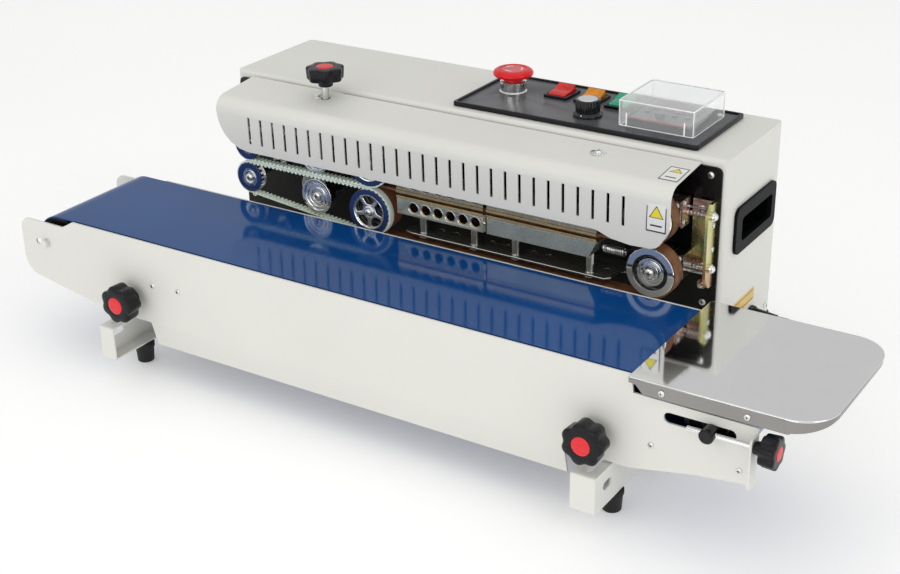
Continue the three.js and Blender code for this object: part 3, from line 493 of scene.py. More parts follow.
def hex_bolt(piece, axis, centre, seat, side, across=8.0, height=4.0, material=None):
    material = material or ZINC_WHITE
    piece.prism(axis, circle(*centre, across / 2 / math.cos(math.pi / 6), 6), seat, seat + side * height,
        material)
    piece.lathe(axis, centre, [(0, seat), (across * 0.68, seat), (across * 0.68, seat + side * 0.8),
        (0, seat + side * 0.8)], material, 32)


# ------------------------------------------------------------------ mains cord
CORD_DIAMETER = 7.0
ROUTE = [(34.2, 78, 76), (42, 78, 76), (53.5, 78.8, 73.7), (63.2, 80.5, 67.2), (69.7, 83, 57.5),
    (72, 86, 46), (71.5, 88.5, 35.9), (68.9, 91.9, 19.9), (61.9, 101.3, 8.2), (52.3, 114.1, 3.9),
    (39.3, 124.8, 3.9), (22.9, 128.7, 3.9), (0, 128.7, 3.9), (-32, 128.7, 3.9), (-66, 128.7, 3.9)]
COIL = middle("cord_coil")
COIL_MIDDLE = COIL.x, COIL.y


def smooth_route(points, step=4.0):
    """Points about one step apart on a smooth line through the given ones."""
    points = [Vector(p) for p in points]
    padded = [2 * points[0] - points[1], *points, 2 * points[-1] - points[-2]]
    result = []
    for a, b, c, d in zip(padded, padded[1:], padded[2:], padded[3:]):
        count = max(1, round((c - b).length / step))
        for k in range(count):
            t = k / count
            square, cube = 2 * a - 5 * b + 4 * c - d, 3 * b - a - 3 * c + d
            result.append(0.5 * (2 * b + (c - a) * t + square * t * t + cube * t ** 3))
    result.append(points[-1])
    return result


def coil_points(turns):
    """Two flat layers: in towards the middle on the floor, then out again on top."""
    result = []
    radius, height = 57.3, 3.9
    steps_per_turn = 36
    layer = round(turns * steps_per_turn)
    rise = 9
    for k in range(1, 2 * layer + rise + 1):
        angle = -math.pi / 2 - TAU * k / steps_per_turn
        if k <= 9:
            radius = 57.3 - 7.6 * (k / 9)
        elif k <= layer:
            radius = 49.7 - 7.0 * (k - 9) / steps_per_turn
        elif k <= layer + rise:
            t = (k - layer) / rise
            height = 3.9 + 7.2 * (t * t * (3 - 2 * t))
        else:
            radius += 7.0 / steps_per_turn
        result.append(Vector((COIL_MIDDLE[0] + radius * math.cos(angle),
            COIL_MIDDLE[1] + radius * math.sin(angle), height)))
    return result


def length_of(points):
    return sum((b - a).length for a, b in zip(points, points[1:]))


def add_cord():
    route = smooth_route(ROUTE, 7.0)
    coil = coil_points(103 / 36)
    tail = smooth_route([coil[-1], coil[-1] + Vector((-22, 0.3, 0.9)), Vector((-118, 135.3, 13.6)),
        Vector((-134.6, 135.5, 14))], 8.0)[1:]
    points = route + coil + tail
    curve = bpy.data.curves.new("power_cord", "CURVE")
    curve.dimensions = "3D"
    curve.bevel_depth = CORD_DIAMETER / 2000
    curve.bevel_resolution = 5
    curve.use_fill_caps = True
    spline = curve.splines.new("POLY")
    spline.points.add(len(points) - 1)
    for point, place in zip(spline.points, points):
        point.co = (*metres(*place), 1)
    curve.materials.append(RUBBER)
    cord = bpy.data.objects.new("power_cord", curve)
    bpy.context.collection.objects.link(cord)
    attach(cord, "cabinet")
    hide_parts("mains_cord", "cord_coil")
    plug = add_plug()
    tie = Piece("cord_tie", "cabinet", 0.3)
    left, right = COIL.x - 55.5, COIL.x - 26.5
    tie.loop("y", rounded(left, right, 0.2, 15.8, 3.5), rounded(left + 0.9, right - 0.9, 1.1, 14.9, 2.8),
        COIL.y - 4, COIL.y + 4, PLASTIC)
    tie.box(COIL.x - 44, COIL.x - 38, COIL.y - 4.5, COIL.y + 4.5, 15.4, 17.6, PLASTIC)
    tie = tie.done()
    metres(*points[0])
    length_of(points) / 1000


def add_plug():
    low, high = ends("mains_plug")
    y, z = (low.y + high.y) / 2, (low.z + high.z) / 2
    body = low.x + 19
    plug = Piece("power_plug", "cabinet", 0.5)
    steps = [(body, 10.5), (body + 3, 12.6), (body + 12, 12.8), (body + 24, 11.4), (body + 32, 9.2)]
    for (x0, size0), (x1, size1) in zip(steps, steps[1:]):
        profile0, profile1 = (rounded(y - s, y + s, z - s, z + s, s * 0.55) for s in (size0, size1))
        count = len(profile0)
        points = [(x0, *p) for p in profile0] + [(x1, *p) for p in profile1]
        faces = [tuple(range(count)), tuple(range(2 * count - 1, count - 1, -1))]
        faces += [(k, (k + 1) % count, count + (k + 1) % count, count + k) for k in range(count)]
        plug.add(points, faces, PLASTIC)
    for rib in range(5):
        start = body + 32 + rib * 3.6
        plug.rod("x", (y, z), 6.2 - rib * 0.32, start, start + 2.6, PLASTIC)
    plug.rod("x", (y, z), 4.7, body + 30, high.x, PLASTIC)
    for side in (-1, 1):
        plug.rod("x", (y + side * 9.5, z), 2.4, low.x, body + 1, CHROME, 24, 1.0)
    return plug.done(["mains_plug"])


add_cord()


# ------------------------------------------------------------------ cabinet
def carry(node, material, bevel=0.35, extra=None, name=None, merge=True):
    """A CAD node in its own shape, with softened edges and its finish, and any details added to it."""
    piece = Piece(name or node.replace("_", "-"), BODY_OF[node], bevel)
    piece.cad(node, material, merge)
    if extra:
        extra(piece)
    return piece.done([node])


def cabinet():
    low, high = ends("cabinet_shell")

    def details(piece):
        for row in range(3):
            for column in range(9):
                x, z = -330 + column * 15, 205 - row * 32
                piece.box(x - 3, x + 3, high.y - 0.4, high.y + 1.6, z, z + 24, PAINT)
        for x in (low.x + 12, low.x + 200, low.x + 380, high.x - 12):
            for z in (low.z + 9, high.z - 12):
                pan_screw(piece, "y", (x, z), high.y, 1)
        for y in (14, high.y - 12):
            pan_screw(piece, "x", (y, low.z + 9), high.x, 1)
            pan_screw(piece, "x", (y, low.z + 9), low.x, -1)
    carry("cabinet_shell", PAINT, 0.5, details)

    plate = Piece("side_label", "cabinet", 0.1)
    plate.prism("x", rounded(35.5, 85, 89, 102.5, 1.2), high.x, high.x + 0.45, LABEL_GOLD)
    for z in (91, 100):
        plate.box(high.x + 0.4, high.x + 0.6, 37.5, 83, z, z + 0.6, INK)
    plate.done(slot="brass")


def shaft_plate():
    face = -2.3

    def details(piece):
        for x, z in ((-11, 245.5), (-12.5, 117.5), (-12, 70), (-540, 242), (-552, 120), (-552, 70),
            (-300, 70)):
            pan_screw(piece, "y", (x, z), face, -1, 3.4)
        hex_bolt(piece, "y", (-14, 136), face, -1, 7, 3, ZINC)
        piece.lathe("y", (-14, 136), [(0, -3), (2.4, -3), (2.4, -6), (1.8, -6.6), (0, -6.6)], CHROME, 24,
            start=face)
        piece.lathe("y", (-462, 152), [(0, face), (12, face), (12, -16), (10.5, -17.5), (5, -17.5),
            (5, -20), (0, -20)], STEEL, 48)
        piece.rod("y", (-64, 176), 2.2, face, -19, CHROME)
        pin = middle("lower_press_wheel")
        piece.lathe("y", (pin.x, pin.z), [(0, -58.5), (3.1, -58.5), (3.1, -49), (8.1, -49), (8.1, -2),
            (0, -2)], STEEL)
    carry("front_plate", BLACK_PAINT, 0.4, details)


def handle():
    carry("side_handle", HANDLE_BLACK, 0.8)


def guard():
    low, high = ends("guard_cover")

    def details(piece):
        pan_screw(piece, "z", (-115.4, -23), high.z - 2.2, 1, 3.4, CHROME, 8)
        hex_bolt(piece, "z", (-443, -21), high.z - 2.2, 1, 7, 4)
        piece.box(-450, -424, -2.3, -0.6, high.z - 3.6, high.z + 0.2, PAINT)
    carry("guard_cover", PAINT, 0.3, details, "guard", False)
    labels = Piece("guard_labels", "cabinet", 0.0)
    slope = (high.z - 4.5 - high.z) / (-52 + 2.9)

    def on_top(x, y):
        return x, y, high.z + slope * (y + 2.9) + 0.02

    def sticker(corners, triangle, bar, lift):
        for shape, material, up in ((corners, INK, 1), (inset(corners, 1.1), LABEL_WHITE, 2),
            (triangle, INK, 3), (inset(triangle, 0.9), LABEL_YELLOW, 4), (bar, INK, 3)):
            base = [Vector(p) for p in shape]
            top = [p + lift * 0.06 * up for p in base]
            count = len(base)
            faces = [tuple(range(count)), tuple(range(2 * count - 1, count - 1, -1))]
            faces += [(k, (k + 1) % count, count + (k + 1) % count, count + k) for k in range(count)]
            labels.add(base + top, faces, material)

    def inset(shape, by):
        shape = [Vector(p) for p in shape]
        centre = sum(shape, Vector()) / len(shape)
        return [p + (centre - p) * (by * 1.5 / (centre - p).length) for p in shape]

    up = Vector((0, -0.09, 1)).normalized()
    sticker([on_top(-42, -50), on_top(-23, -50), on_top(-23, -22), on_top(-42, -22)],
        [on_top(-39, -33), on_top(-26, -33), on_top(-32.5, -25)],
        [on_top(-38, -44), on_top(-27, -44), on_top(-27, -42.4), on_top(-38, -42.4)], up)
    y = low.y - 0.02

    def in_front(x, z):
        return x, y + 0.004 * (z - 189), z
    sticker([in_front(-44, 207.5), in_front(-24.5, 207.5), in_front(-24.5, 236), in_front(-44, 236)],
        [in_front(-41.5, 221), in_front(-27, 221), in_front(-34.2, 233)],
        [in_front(-40, 213), in_front(-28.5, 213), in_front(-28.5, 214.5), in_front(-40, 214.5)],
        Vector((0, -1, 0)))
    labels.done(slot="cream_paint")


def panel():
    low, high = ends("control_panel")
    field, rim = 263.7, 265.3
    piece = Piece("control_panel", "cabinet", 0.3)
    outer = rounded(low.x, high.x, low.y, high.y, 3)
    windows = []
    for node in ("red_switch", "amber_switch", "green_switch"):
        a, b = ends(node)
        windows.append((a.x - 1, b.x + 1, a.y - 1, b.y + 1))
    inner = rounded(low.x + 3.4, high.x - 3.4, low.y + 3.4, high.y - 3.4, 2)
    stop = middle("stop_button")
    cut = [rounded(*w, 0.6, 2) for w in windows] + [circle(stop.x, stop.y, 9.3, 48)]
    plate_with_holes(piece, "z", outer, [inner], low.z, rim, PLASTIC, 0.7)
    plate_with_holes(piece, "z", inner, cut, low.z + 0.1, field, PANEL, 0.15)
    for x0, x1, y0, y1 in windows:
        plate_with_holes(piece, "z", rounded(x0 - 3, x1 + 3, y0 - 2.6, y1 + 2.6, 2.5),
            [rounded(x0, x1, y0, y1, 1)], field - 0.3, 266.4, PLASTIC, 0.6)
    piece.lathe("z", (stop.x, stop.y), [(9.4, field - 1), (14.2, field - 1), (14.2, 266.6), (13.6, 267.4),
        (12.9, 267.6), (12.9, 275.6), (13.3, 276), (13.3, 276.8), (12.9, 277), (9.4, 277)], CHROME, 72)
    for k in range(24):
        a = TAU * k / 24
        piece.rod("z", (stop.x + 12.7 * math.cos(a), stop.y + 12.7 * math.sin(a)), 0.55, 268, 275.4, STEEL,
            8)
    meter_body(piece, field)
    return piece.done(["control_panel"], "black_plastic")


def meter_body(piece, field):
    """Temperature controller under the clear cover: black case, tinted window and a small knob."""
    low, high = ends("controller_cover")
    x0, x1, y0, y1, top = low.x + 5.5, high.x - 5.5, low.y + 6, high.y - 5.5, 271.5
    piece.prism("z", rounded(x0, x1, y0, y1, 2), field - 0.5, top, PLASTIC)
    piece.prism("z", rounded(x0 + 2.5, x1 - 2.5, y0 + 2, y1 - 2, 1.5), top, top + 0.8, GREY_PLASTIC)
    piece.box(x0 + 1.2, x1 - 1.2, y0 + 0.4, y0 + 1.4, top - 0.5, top + 0.9, LENS_RED)
    piece.prism("z", rounded(x0 + 8, x1 - 8, y1 - 30, y1 - 8, 1.5), top + 0.8, top + 1.3, DARK_MIRROR)
    for k in range(3):
        x = x0 + 14 + k * 13
        piece.prism("z", rounded(x, x + 8, y1 - 26, y1 - 12, 1, 2), top + 1.3, top + 1.5, LENS_DARK)
    for k in range(4):
        piece.rod("z", (x0 + 12 + k * 14, y0 + 22), 2.6, top + 0.8, top + 2.2, GREY_PLASTIC, 24)
    piece.rod("z", (x0 + 30, y0 + 11), 4.4, top + 0.8, top + 6.5, GREY_PLASTIC, 32)


def stop_button():
    centre = middle("stop_button")
    low, high = ends("stop_button")
    piece = Piece("stop-button", "stop", 0)
    head = high.z
    piece.lathe("z", (centre.x, centre.y), [(0, low.z), (8.8, low.z), (8.8, 281.3), (12, 281.5), (16, 282),
        (19.2, 282.6), (20.4, 284), (20.5, 285.6), (19.7, 287.4), (17.6, 288.9), (14.6, head - 0.1),
        (13.4, head - 0.25), (12.9, head - 0.9), (0, head - 0.9)], RED, 96)
    # the lighter red disc inside the concave top is a painted highlight
    piece.lathe("z", (centre.x, centre.y), [(0, -0.95), (12.4, -0.95), (12.2, -0.55), (0, -0.45)], SHEEN_RED_TOP,
        64, start=head)
    for k in range(3):
        start = TAU * k / 3
        arc = [(start + 0.9 * t / 8) for t in range(9)]
        outer = [(centre.x + 9.6 * math.cos(a), centre.y + 9.6 * math.sin(a)) for a in arc]
        inner = [(centre.x + 8.3 * math.cos(a), centre.y + 8.3 * math.sin(a)) for a in reversed(arc)]
        piece.prism("z", outer + inner, head - 0.5, head - 0.38, LABEL_WHITE)
    piece.done(["stop_button"], "red_plastic", 50)


def rocker(node, lens):
    low, high = ends(node)
    y = (low.y + high.y) / 2
    half = (high.y - low.y) / 2
    top = high.z

    side = [(y - half, low.z + 5)]
    for k in range(13):
        t = k / 12
        side.append((y - half * (1 - t) + 0.2, low.z + 7.6 + 1.2 * t + 0.5 * math.sin(TAU * t / 2)))
    for k in range(1, 13):
        t = k / 12
        side.append((y + (half - 2) * t,
            low.z + 8.8 + (top - low.z - 8.8) * t - 0.7 * math.sin(TAU * t / 2)))
    side += [(y + half, low.z + 5), (y + half - 1, low.z), (y - half + 1, low.z)]
    piece = piece_of(node, 0.7)
    piece.prism("x", side, low.x, high.x, lens)
    piece.done([node], SLOTS[node], 40)


def dial():
    low, high = ends("speed_dial")
    centre = (low.x + high.x) / 2, (low.y + high.y) / 2
    piece = Piece("speed-dial", "dial", 0.25)
    base = 264.0
    piece.rod("z", centre, 3, low.z, base + 1, STEEL)
    piece.lathe("z", centre, [(0, 0), (14.5, 0), (14.5, 1.6), (12.8, 4), (0, 4)], GLOSS_BLACK, 72,
        start=base)
    flutes = []
    for k in range(96):
        angle = TAU * k / 96
        radius = 12.1 - 0.7 * (k % 4 in (0, 1))
        flutes.append((centre[0] + radius * math.cos(angle), centre[1] + radius * math.sin(angle)))
    piece.prism("z", flutes, base + 4, high.z - 1.2, GLOSS_BLACK)
    piece.lathe("z", centre, [(0, high.z - 1.3), (11.9, high.z - 1.3), (11.2, high.z - 0.5),
        (0, high.z - 0.5)], GLOSS_BLACK, 72)
    piece.lathe("z", centre, [(0, high.z - 1.3), (9.8, high.z - 1.3), (9.6, high.z - 0.4), (9, high.z),
        (0, high.z)], SILVER_CAP, 72)
    piece.box(centre[0] - 0.5, centre[0] + 0.5, centre[1] - 14.2, centre[1] - 12.3, base + 2, base + 3.4,
        LABEL_WHITE)
    piece.done(["speed_dial"], "black_plastic")


def meter_cover():
    low, high = ends("controller_cover")

    def painted_edge_highlights(piece):
        # glowing white strips on the cover's front and along its edges are painted highlights
        for x in (low.x + 8, high.x - 10):
            piece.box(x, x + 1.2, low.y - 0.5, low.y + 0.4, low.z + 1, high.z - 12, GLOWING_EDGE_HIGHLIGHT)
        corners = [(low.x + 0.7, low.y + 0.7), (high.x - 0.7, low.y + 0.7), (high.x - 0.7, high.y - 0.7),
            (low.x + 0.7, high.y - 0.7)]
        for k, (x, y) in enumerate(corners):
            xn, yn = corners[(k + 1) % 4]
            for z in (high.z - 0.7, low.z + 0.6):
                piece.tube([Vector((x, y, z)), Vector((xn, yn, z))], 0.42, GLOWING_EDGE_HIGHLIGHT, 8)
            piece.tube([Vector((x, y, low.z + 0.6)), Vector((x, y, high.z - 0.7))], 0.42, GLOWING_EDGE_HIGHLIGHT, 8)
    carry("controller_cover", ACRYLIC, 0.6, painted_edge_highlights)


# ------------------------------------------------------------------ star handles
def star_handle(name, node, axis, centre, seat, side, radius, height, stud=None, cap_share=0.44):
    """Seven-lobed handle. seat is the hub's foot along the axis, side the way the cap faces."""
    piece = Piece(name, BODY_OF[node], 0)
    lobes, count = 7, 154
    rows = [(0.30, 0.42, 0.0), (0.31, 0.84, 0.8), (0.34, 0.93, 1.0), (0.40, 0.965, 1.0), (0.88, 1.0, 1.0),
        (0.925, 0.985, 1.0), (0.955, 0.94, 0.9), (0.97, 0.88, 0.8), (0.985, 0.62, 0.0), (0.975, 0.5, 0.0)]
    rings, points = [], []
    for share, scale, depth in rows:
        ring = []
        for k in range(count):
            angle = TAU * k / count
            notch = (0.5 - 0.5 * math.cos(lobes * angle)) ** 1.25
            reach = radius * (scale - 0.125 * depth * notch)
            ring.append(len(points))
            points.append(turn_to(axis, centre, reach * math.cos(angle), reach * math.sin(angle),
                seat + side * height * share))
        rings.append(ring)
    faces = [tuple(rings[0]), tuple(reversed(rings[-1]))]
    for a, b in zip(rings, rings[1:]):
        faces += [(a[k], a[(k + 1) % count], b[(k + 1) % count], b[k]) for k in range(count)]
    piece.add(points, faces, PLASTIC)
    foot = seat
    piece.lathe(axis, centre, [(0, foot), (radius * 0.36, foot),
        (radius * 0.38, foot + side * height * 0.05), (radius * 0.46, foot + side * height * 0.34),
        (0, foot + side * height * 0.34)], PLASTIC)
    face = seat + side * height
    piece.lathe(axis, centre, [(0, face - side * 1.4), (radius * cap_share, face - side * 1.4),
        (radius * cap_share, face - side * 0.5), (radius * cap_share * 0.93, face - side * 0.15),
        (radius * cap_share * 0.6, face - side * 0.02), (0, face)], CAP_RED, 64)
    if stud:
        start, end, thick = stud
        piece.rod(axis, centre, thick, start, end, CHROME, 32)
        step = 1.25
        for k in range(int(abs(end - start) / step) - 1):
            at = min(start, end) + step * (k + 0.7)
            piece.lathe(axis, centre, [(thick - 0.3, at), (thick + 0.14, at + 0.35),
                (thick - 0.3, at + 0.7)], CHROME, 32)
    piece.done([node], SLOTS[node], 34)


# ------------------------------------------------------------------ wheels and belts
def tangent_loop(left, right):
    """Walks round two wheels (x, z, radius): returns the loop's length and a function of distance
    that gives a point on it and the way out of it."""
    (x0, z0, r0), (x1, z1, r1) = left, right
    along = math.atan2(z1 - z0, x1 - x0)
    distance = math.hypot(x1 - x0, z1 - z0)
    lean = math.asin((r0 - r1) / distance)
    quarter = math.pi / 2 - lean
    straight = distance * math.cos(lean)
    arc_left, arc_right = r0 * (TAU - 2 * quarter), r1 * 2 * quarter
    lengths = [arc_left, straight, arc_right, straight]

    def walk(distance_along, out=0.0):
        d = distance_along % sum(lengths)
        if d < arc_left:
            angle = along + quarter + d / r0
            normal = Vector((math.cos(angle), math.sin(angle)))
            return Vector((x0, z0)) + normal * (r0 + out)
        d -= arc_left
        if d < straight:
            normal = Vector((math.cos(along - quarter), math.sin(along - quarter)))
            start, end = Vector((x0, z0)) + normal * r0, Vector((x1, z1)) + normal * r1
            return start.lerp(end, d / straight) + normal * out
        d -= straight
        if d < arc_right:
            angle = along - quarter + d / r1
            normal = Vector((math.cos(angle), math.sin(angle)))
            return Vector((x1, z1)) + normal * (r1 + out)
        d -= arc_right
        normal = Vector((math.cos(along + quarter), math.sin(along + quarter)))
        start, end = Vector((x1, z1)) + normal * r1, Vector((x0, z0)) + normal * r0
        return start.lerp(end, d / straight) + normal * out
    return sum(lengths), walk


def wheel_of(node, radius):
    centre = middle(node)
    return centre.x, centre.z, radius


def drive_centre(level):
    """The driving wheel's centre: its gear is wider than the pulley, so the plain wheel gives it."""
    return middle(f"{level}_drive_wheel")


def guide_belt(level):
    """Polyurethane timing belt: smooth back, teeth on the inside every 5 mm."""
    node = f"{level}_guide_belt"
    low, high = ends(node)
    centre = drive_centre(level)
    big, small = 22.8, 14.8
    length, walk = tangent_loop(wheel_of(f"{level}_idle_pulley", small), (centre.x, centre.z, big))
    teeth = round(length / 5)
    outer, inner = [], []
    for k in range(teeth):
        for share, rise in ((0.0, 1.7), (0.32, 1.7), (0.45, 0.0), (0.87, 0.0)):
            d = (k + share) / teeth * length
            outer.append(walk(d, 3.0))
            inner.append(walk(d, rise))
    piece = Piece(node.replace("_", "-"), "cabinet", 0)
    piece.loop("y", outer, inner, low.y, high.y, BELT_PU)
    piece.done([node], SLOTS[node], 40)


def sealing_band(level):
    node = f"{level}_sealing_band"
    low, high = ends(node)
    left, right = drive_centre(level), middle(f"{level}_band_wheel")
    length, walk = tangent_loop((left.x, left.z, 24.8), (right.x, right.z, 24.8))
    places = [length * k / 300 for k in range(300)]
    piece = Piece(node.replace("_", "-"), "cabinet", 0)
    piece.loop("y", [walk(d, 1.0) for d in places], [walk(d) for d in places], low.y, high.y, PTFE)
    piece.done([node], SLOTS[node], 40)


def sector(centre, inner, outer, turn, half):
    """A rounded window between two radii."""
    result = []
    for k in range(13):
        share = k / 6 - 1
        reach = outer - 1.3 * abs(share) ** 4
        angle = turn + half * share
        result.append((centre[0] + reach * math.cos(angle), centre[1] + reach * math.sin(angle)))
    for k in range(9):
        share = 1 - k / 4
        reach = inner + 1.2 * abs(share) ** 3
        angle = turn + half * 0.8 * share
        result.append((centre[0] + reach * math.cos(angle), centre[1] + reach * math.sin(angle)))
    return result


def toothed(centre, radius, teeth, depth):
    result = []
    for k in range(teeth):
        for share, reach in ((0.0, radius - depth), (0.3, radius - depth), (0.42, radius), (0.88, radius)):
            angle = TAU * (k + share) / teeth
            result.append((centre[0] + reach * math.cos(angle), centre[1] + reach * math.sin(angle)))
    return result


def drive_pulley(level):
    node = f"{level}_drive_pulley"
    centre = drive_centre(level)
    axis = centre.x, centre.z
    low, high = ends(node)
    front, back = low.y, low.y + 9.9
    piece = piece_of(node, 0.25)
    windows = [sector(axis, 8.0, 16.6, TAU * k / 5 + 0.3, 0.5) for k in range(5)]
    plate_with_holes(piece, "y", circle(*axis, 20.6, 96), windows, front + 1.2, back - 2, CHROME, 0.8)
    rim = toothed(axis, 22.4, 28, 1.5)
    inner = [((x - axis[0]) * 20.2 / math.hypot(x - axis[0], z - axis[1]) + axis[0],
        (z - axis[1]) * 20.2 / math.hypot(x - axis[0], z - axis[1]) + axis[1]) for x, z in rim]
    piece.loop("y", rim, inner, front + 1, back - 0.4, CHROME)
    for y0, y1 in ((front, front + 1.2), (back - 1.2, back)):
        near = y0 == front
        piece.lathe("y", axis, [(18.6 if near else 20.4, y0), (23.6, y0), (23.9, y0 + 0.3),
            (23.9, y1 - 0.3), (23.6, y1), (18.6 if near else 20.4, y1)], BLUE if near else CHROME, 96)
    piece.lathe("y", axis, [(0, -1.8), (19.5, -1.8), (19.5, -0.6), (0, -0.6)], BLACK_PAINT, 64, start=back)
    piece.lathe("y", axis, [(17.4, 0.4), (18.5, -0.1), (18.5, 1.3), (17.4, 1.3)], CHROME, 96, start=front)
    piece.lathe("y", axis, [(0, -0.6), (5.2, -0.6), (6.4, 0.6), (6.4, 2), (0, 2)], CHROME, 48, start=front)
    pan_screw(piece, "y", axis, front - 0.5, -1, 3.4)
    piece.rod("y", axis, 6, back, high.y, STEEL, 48)
    gear(piece, axis, 26.0, 20, math.pi / 2 if level == "lower" else -math.pi / 2 + math.pi / 20)
    piece.done([node], SLOTS[node])

    wheel = f"{level}_drive_wheel"
    low, high = ends(wheel)
    tyre = Piece(wheel.replace("_", "-"), BODY_OF[wheel], 0.3)
    tyre.lathe("y", axis, [(21, low.y), (24.2, low.y), (24.5, low.y + 0.4), (24.5, high.y - 0.4),
        (24.2, high.y), (21, high.y)], SILICONE, 96)
    tyre.lathe("y", axis, [(6.3, low.y + 1), (9, low.y), (10, low.y + 2.4), (18.4, low.y + 2.4),
        (19.6, low.y + 0.2), (21, low.y + 0.2), (21, high.y - 0.2), (6.3, high.y - 0.2)], STEEL, 96)
    tyre.done([wheel], SLOTS[wheel])


def gear(piece, axis, pitch, teeth, turn):
    outline = []
    for k in range(teeth):
        centre = turn + TAU * k / teeth
        for radius, share in ((pitch - 2.8, -0.32), (pitch - 1.4, -0.24), (pitch, -0.2),
            (pitch + 1.9, -0.1), (pitch + 1.9, 0.1), (pitch, 0.2), (pitch - 1.4, 0.24),
            (pitch - 2.8, 0.32)):
            angle = centre + share * TAU / teeth
            outline.append((axis[0] + radius * math.cos(angle), axis[1] + radius * math.sin(angle)))
    piece.prism("y", outline, 6, 14, STEEL)
    piece.lathe("y", axis, [(0, 4), (11, 4), (11, 6.2), (0, 6.2)], STEEL, 48)


def idle_pulley(level):
    node = f"{level}_idle_pulley"
    low, high = ends(node)
    centre = middle(node)
    axis = centre.x, centre.z
    front, back = low.y, low.y + 9.9
    piece = piece_of(node, 0.25)
    piece.lathe("y", axis, [(0, 1.4), (9.4, 1.4), (10.2, 0), (15.6, 0), (15.9, 0.3), (15.9, 1.2), (0, 1.9)],
        BLUE, 96, start=front)
    piece.lathe("y", axis, [(4.4, 1), (6.4, 0.2), (7.6, 0.2), (8.6, 1.5), (4.4, 1.6)], CHROME, 64,
        start=front)
    piece.prism("y", toothed(axis, 14.4, 18, 1.5), front + 1.3, back - 1.2, CHROME)
    piece.lathe("y", axis, [(0, -1.2), (15.9, -1.2), (15.9, 0), (0, 0)], CHROME, 96, start=back)
    pan_screw(piece, "y", axis, front + 0.6, -1, 4.2)
    piece.rod("y", axis, 5, back, high.y, CHROME, 40)
    piece.lathe("y", axis, [(0, -8), (9, -8), (9, high.y), (0, high.y)], STEEL, 48)
    piece.done([node], SLOTS[node])


def press_wheel(level):
    node = f"{level}_press_wheel"
    low, high = ends(node)
    centre = middle(node)
    axis = centre.x, centre.z
    radius = (high.x - low.x) / 2
    f = low.y
    piece = piece_of(node, 0.15)
    piece.lathe("y", axis, [(3.2, f + 2.2), (6.4, f + 2.2), (7, f + 0.8), (9, f + 0.8), (9.6, f + 2.6),
        (11.2, f + 2.6), (11.8, f + 0.9), (13.2, f + 0.9), (13.8, f + 2.2), (15.2, f + 2.2),
        (15.8, f + 0.2), (radius - 0.5, f), (radius, f + 0.5), (radius, high.y - 0.5),
        (radius - 0.5, high.y), (3.2, high.y)], CHROME, 96)
    piece.lathe("y", axis, [(0, 1.6), (5.2, 1.6), (5.8, 2.6), (0, 2.6)], STEEL, 48, start=f)
    pan_screw(piece, "y", axis, f + 1.5, -1, 4)
    piece.done([node], SLOTS[node])


def band_wheel(level):
    node = f"{level}_band_wheel"
    low, high = ends(node)
    centre = middle(node)
    axis = centre.x, centre.z
    front, back, rim = low.y + 1, high.y, (high.x - low.x) / 2
    piece = piece_of(node, 0.15)
    piece.lathe("y", axis, [(4.3, front + 1.6), (6.4, front + 1.6), (7, front - 0.8), (8.8, front - 0.8),
        (9.6, front + 3.4), (11, front + 3.4), (11.6, front + 1.2), (13.6, front + 1.2), (14.2, front + 5),
        (17.2, front + 5), (18, front), (rim - 0.6, front), (rim, front + 0.6), (rim, back - 0.5),
        (rim - 0.5, back), (4.3, back)], CHROME, 128)
    # a gloss-black ring on the recess floor is painted shade in the wheel's recess
    piece.lathe("y", axis, [(14.3, 4.8), (17.1, 4.8), (17.1, 5.4), (14.3, 5.4)], GLOSS_BLACK, 96,
        start=front)
    pan_screw(piece, "y", axis, front - 0.2, -1, 4.6)
    piece.done([node], SLOTS[node])


def band_carrier(level):
    node = f"{level}_band_carrier"
    centre = middle(f"{level}_band_wheel")
    side = 1 if level == "upper" else -1

    def details(piece):
        right = centre.x + 21.5
        for dz in (-7.5, 7.5):
            pan_screw(piece, "y", (right - 5, centre.z + dz), -24, -1, 3.2)
        if level == "upper":
            piece.box(right - 0.2, right + 1.6, -23.5, -6.5, centre.z - 13.5, centre.z + 13.5, PINK_ZINC)
            for dz in (-9.5, 9.5):
                pan_screw(piece, "x", (-18.5, centre.z + dz), right + 1.6, 1, 3.2)
        for k in range(5):
            at = right + 3 + k * 3.4
            piece.lathe("x", (-14, centre.z), [(2.4, at), (2.75, at + 0.5), (2.4, at + 1)], CHROME, 24)
        piece.rod("x", (-14, centre.z + side * 6), 1.2, right, -9, CHROME, 16)
    carry(node, PINK_ZINC if level == "upper" else STEEL, 0.4, details)


def press_gear():
    carry("press_lift", STEEL, 0.4)
    low, high = ends("pressure_knob")
    centre = (low.x + high.x) / 2, (low.y + high.y) / 2
    star_handle("pressure-knob", "pressure_knob", "z", centre, low.z, 1, 20, high.z - low.z)


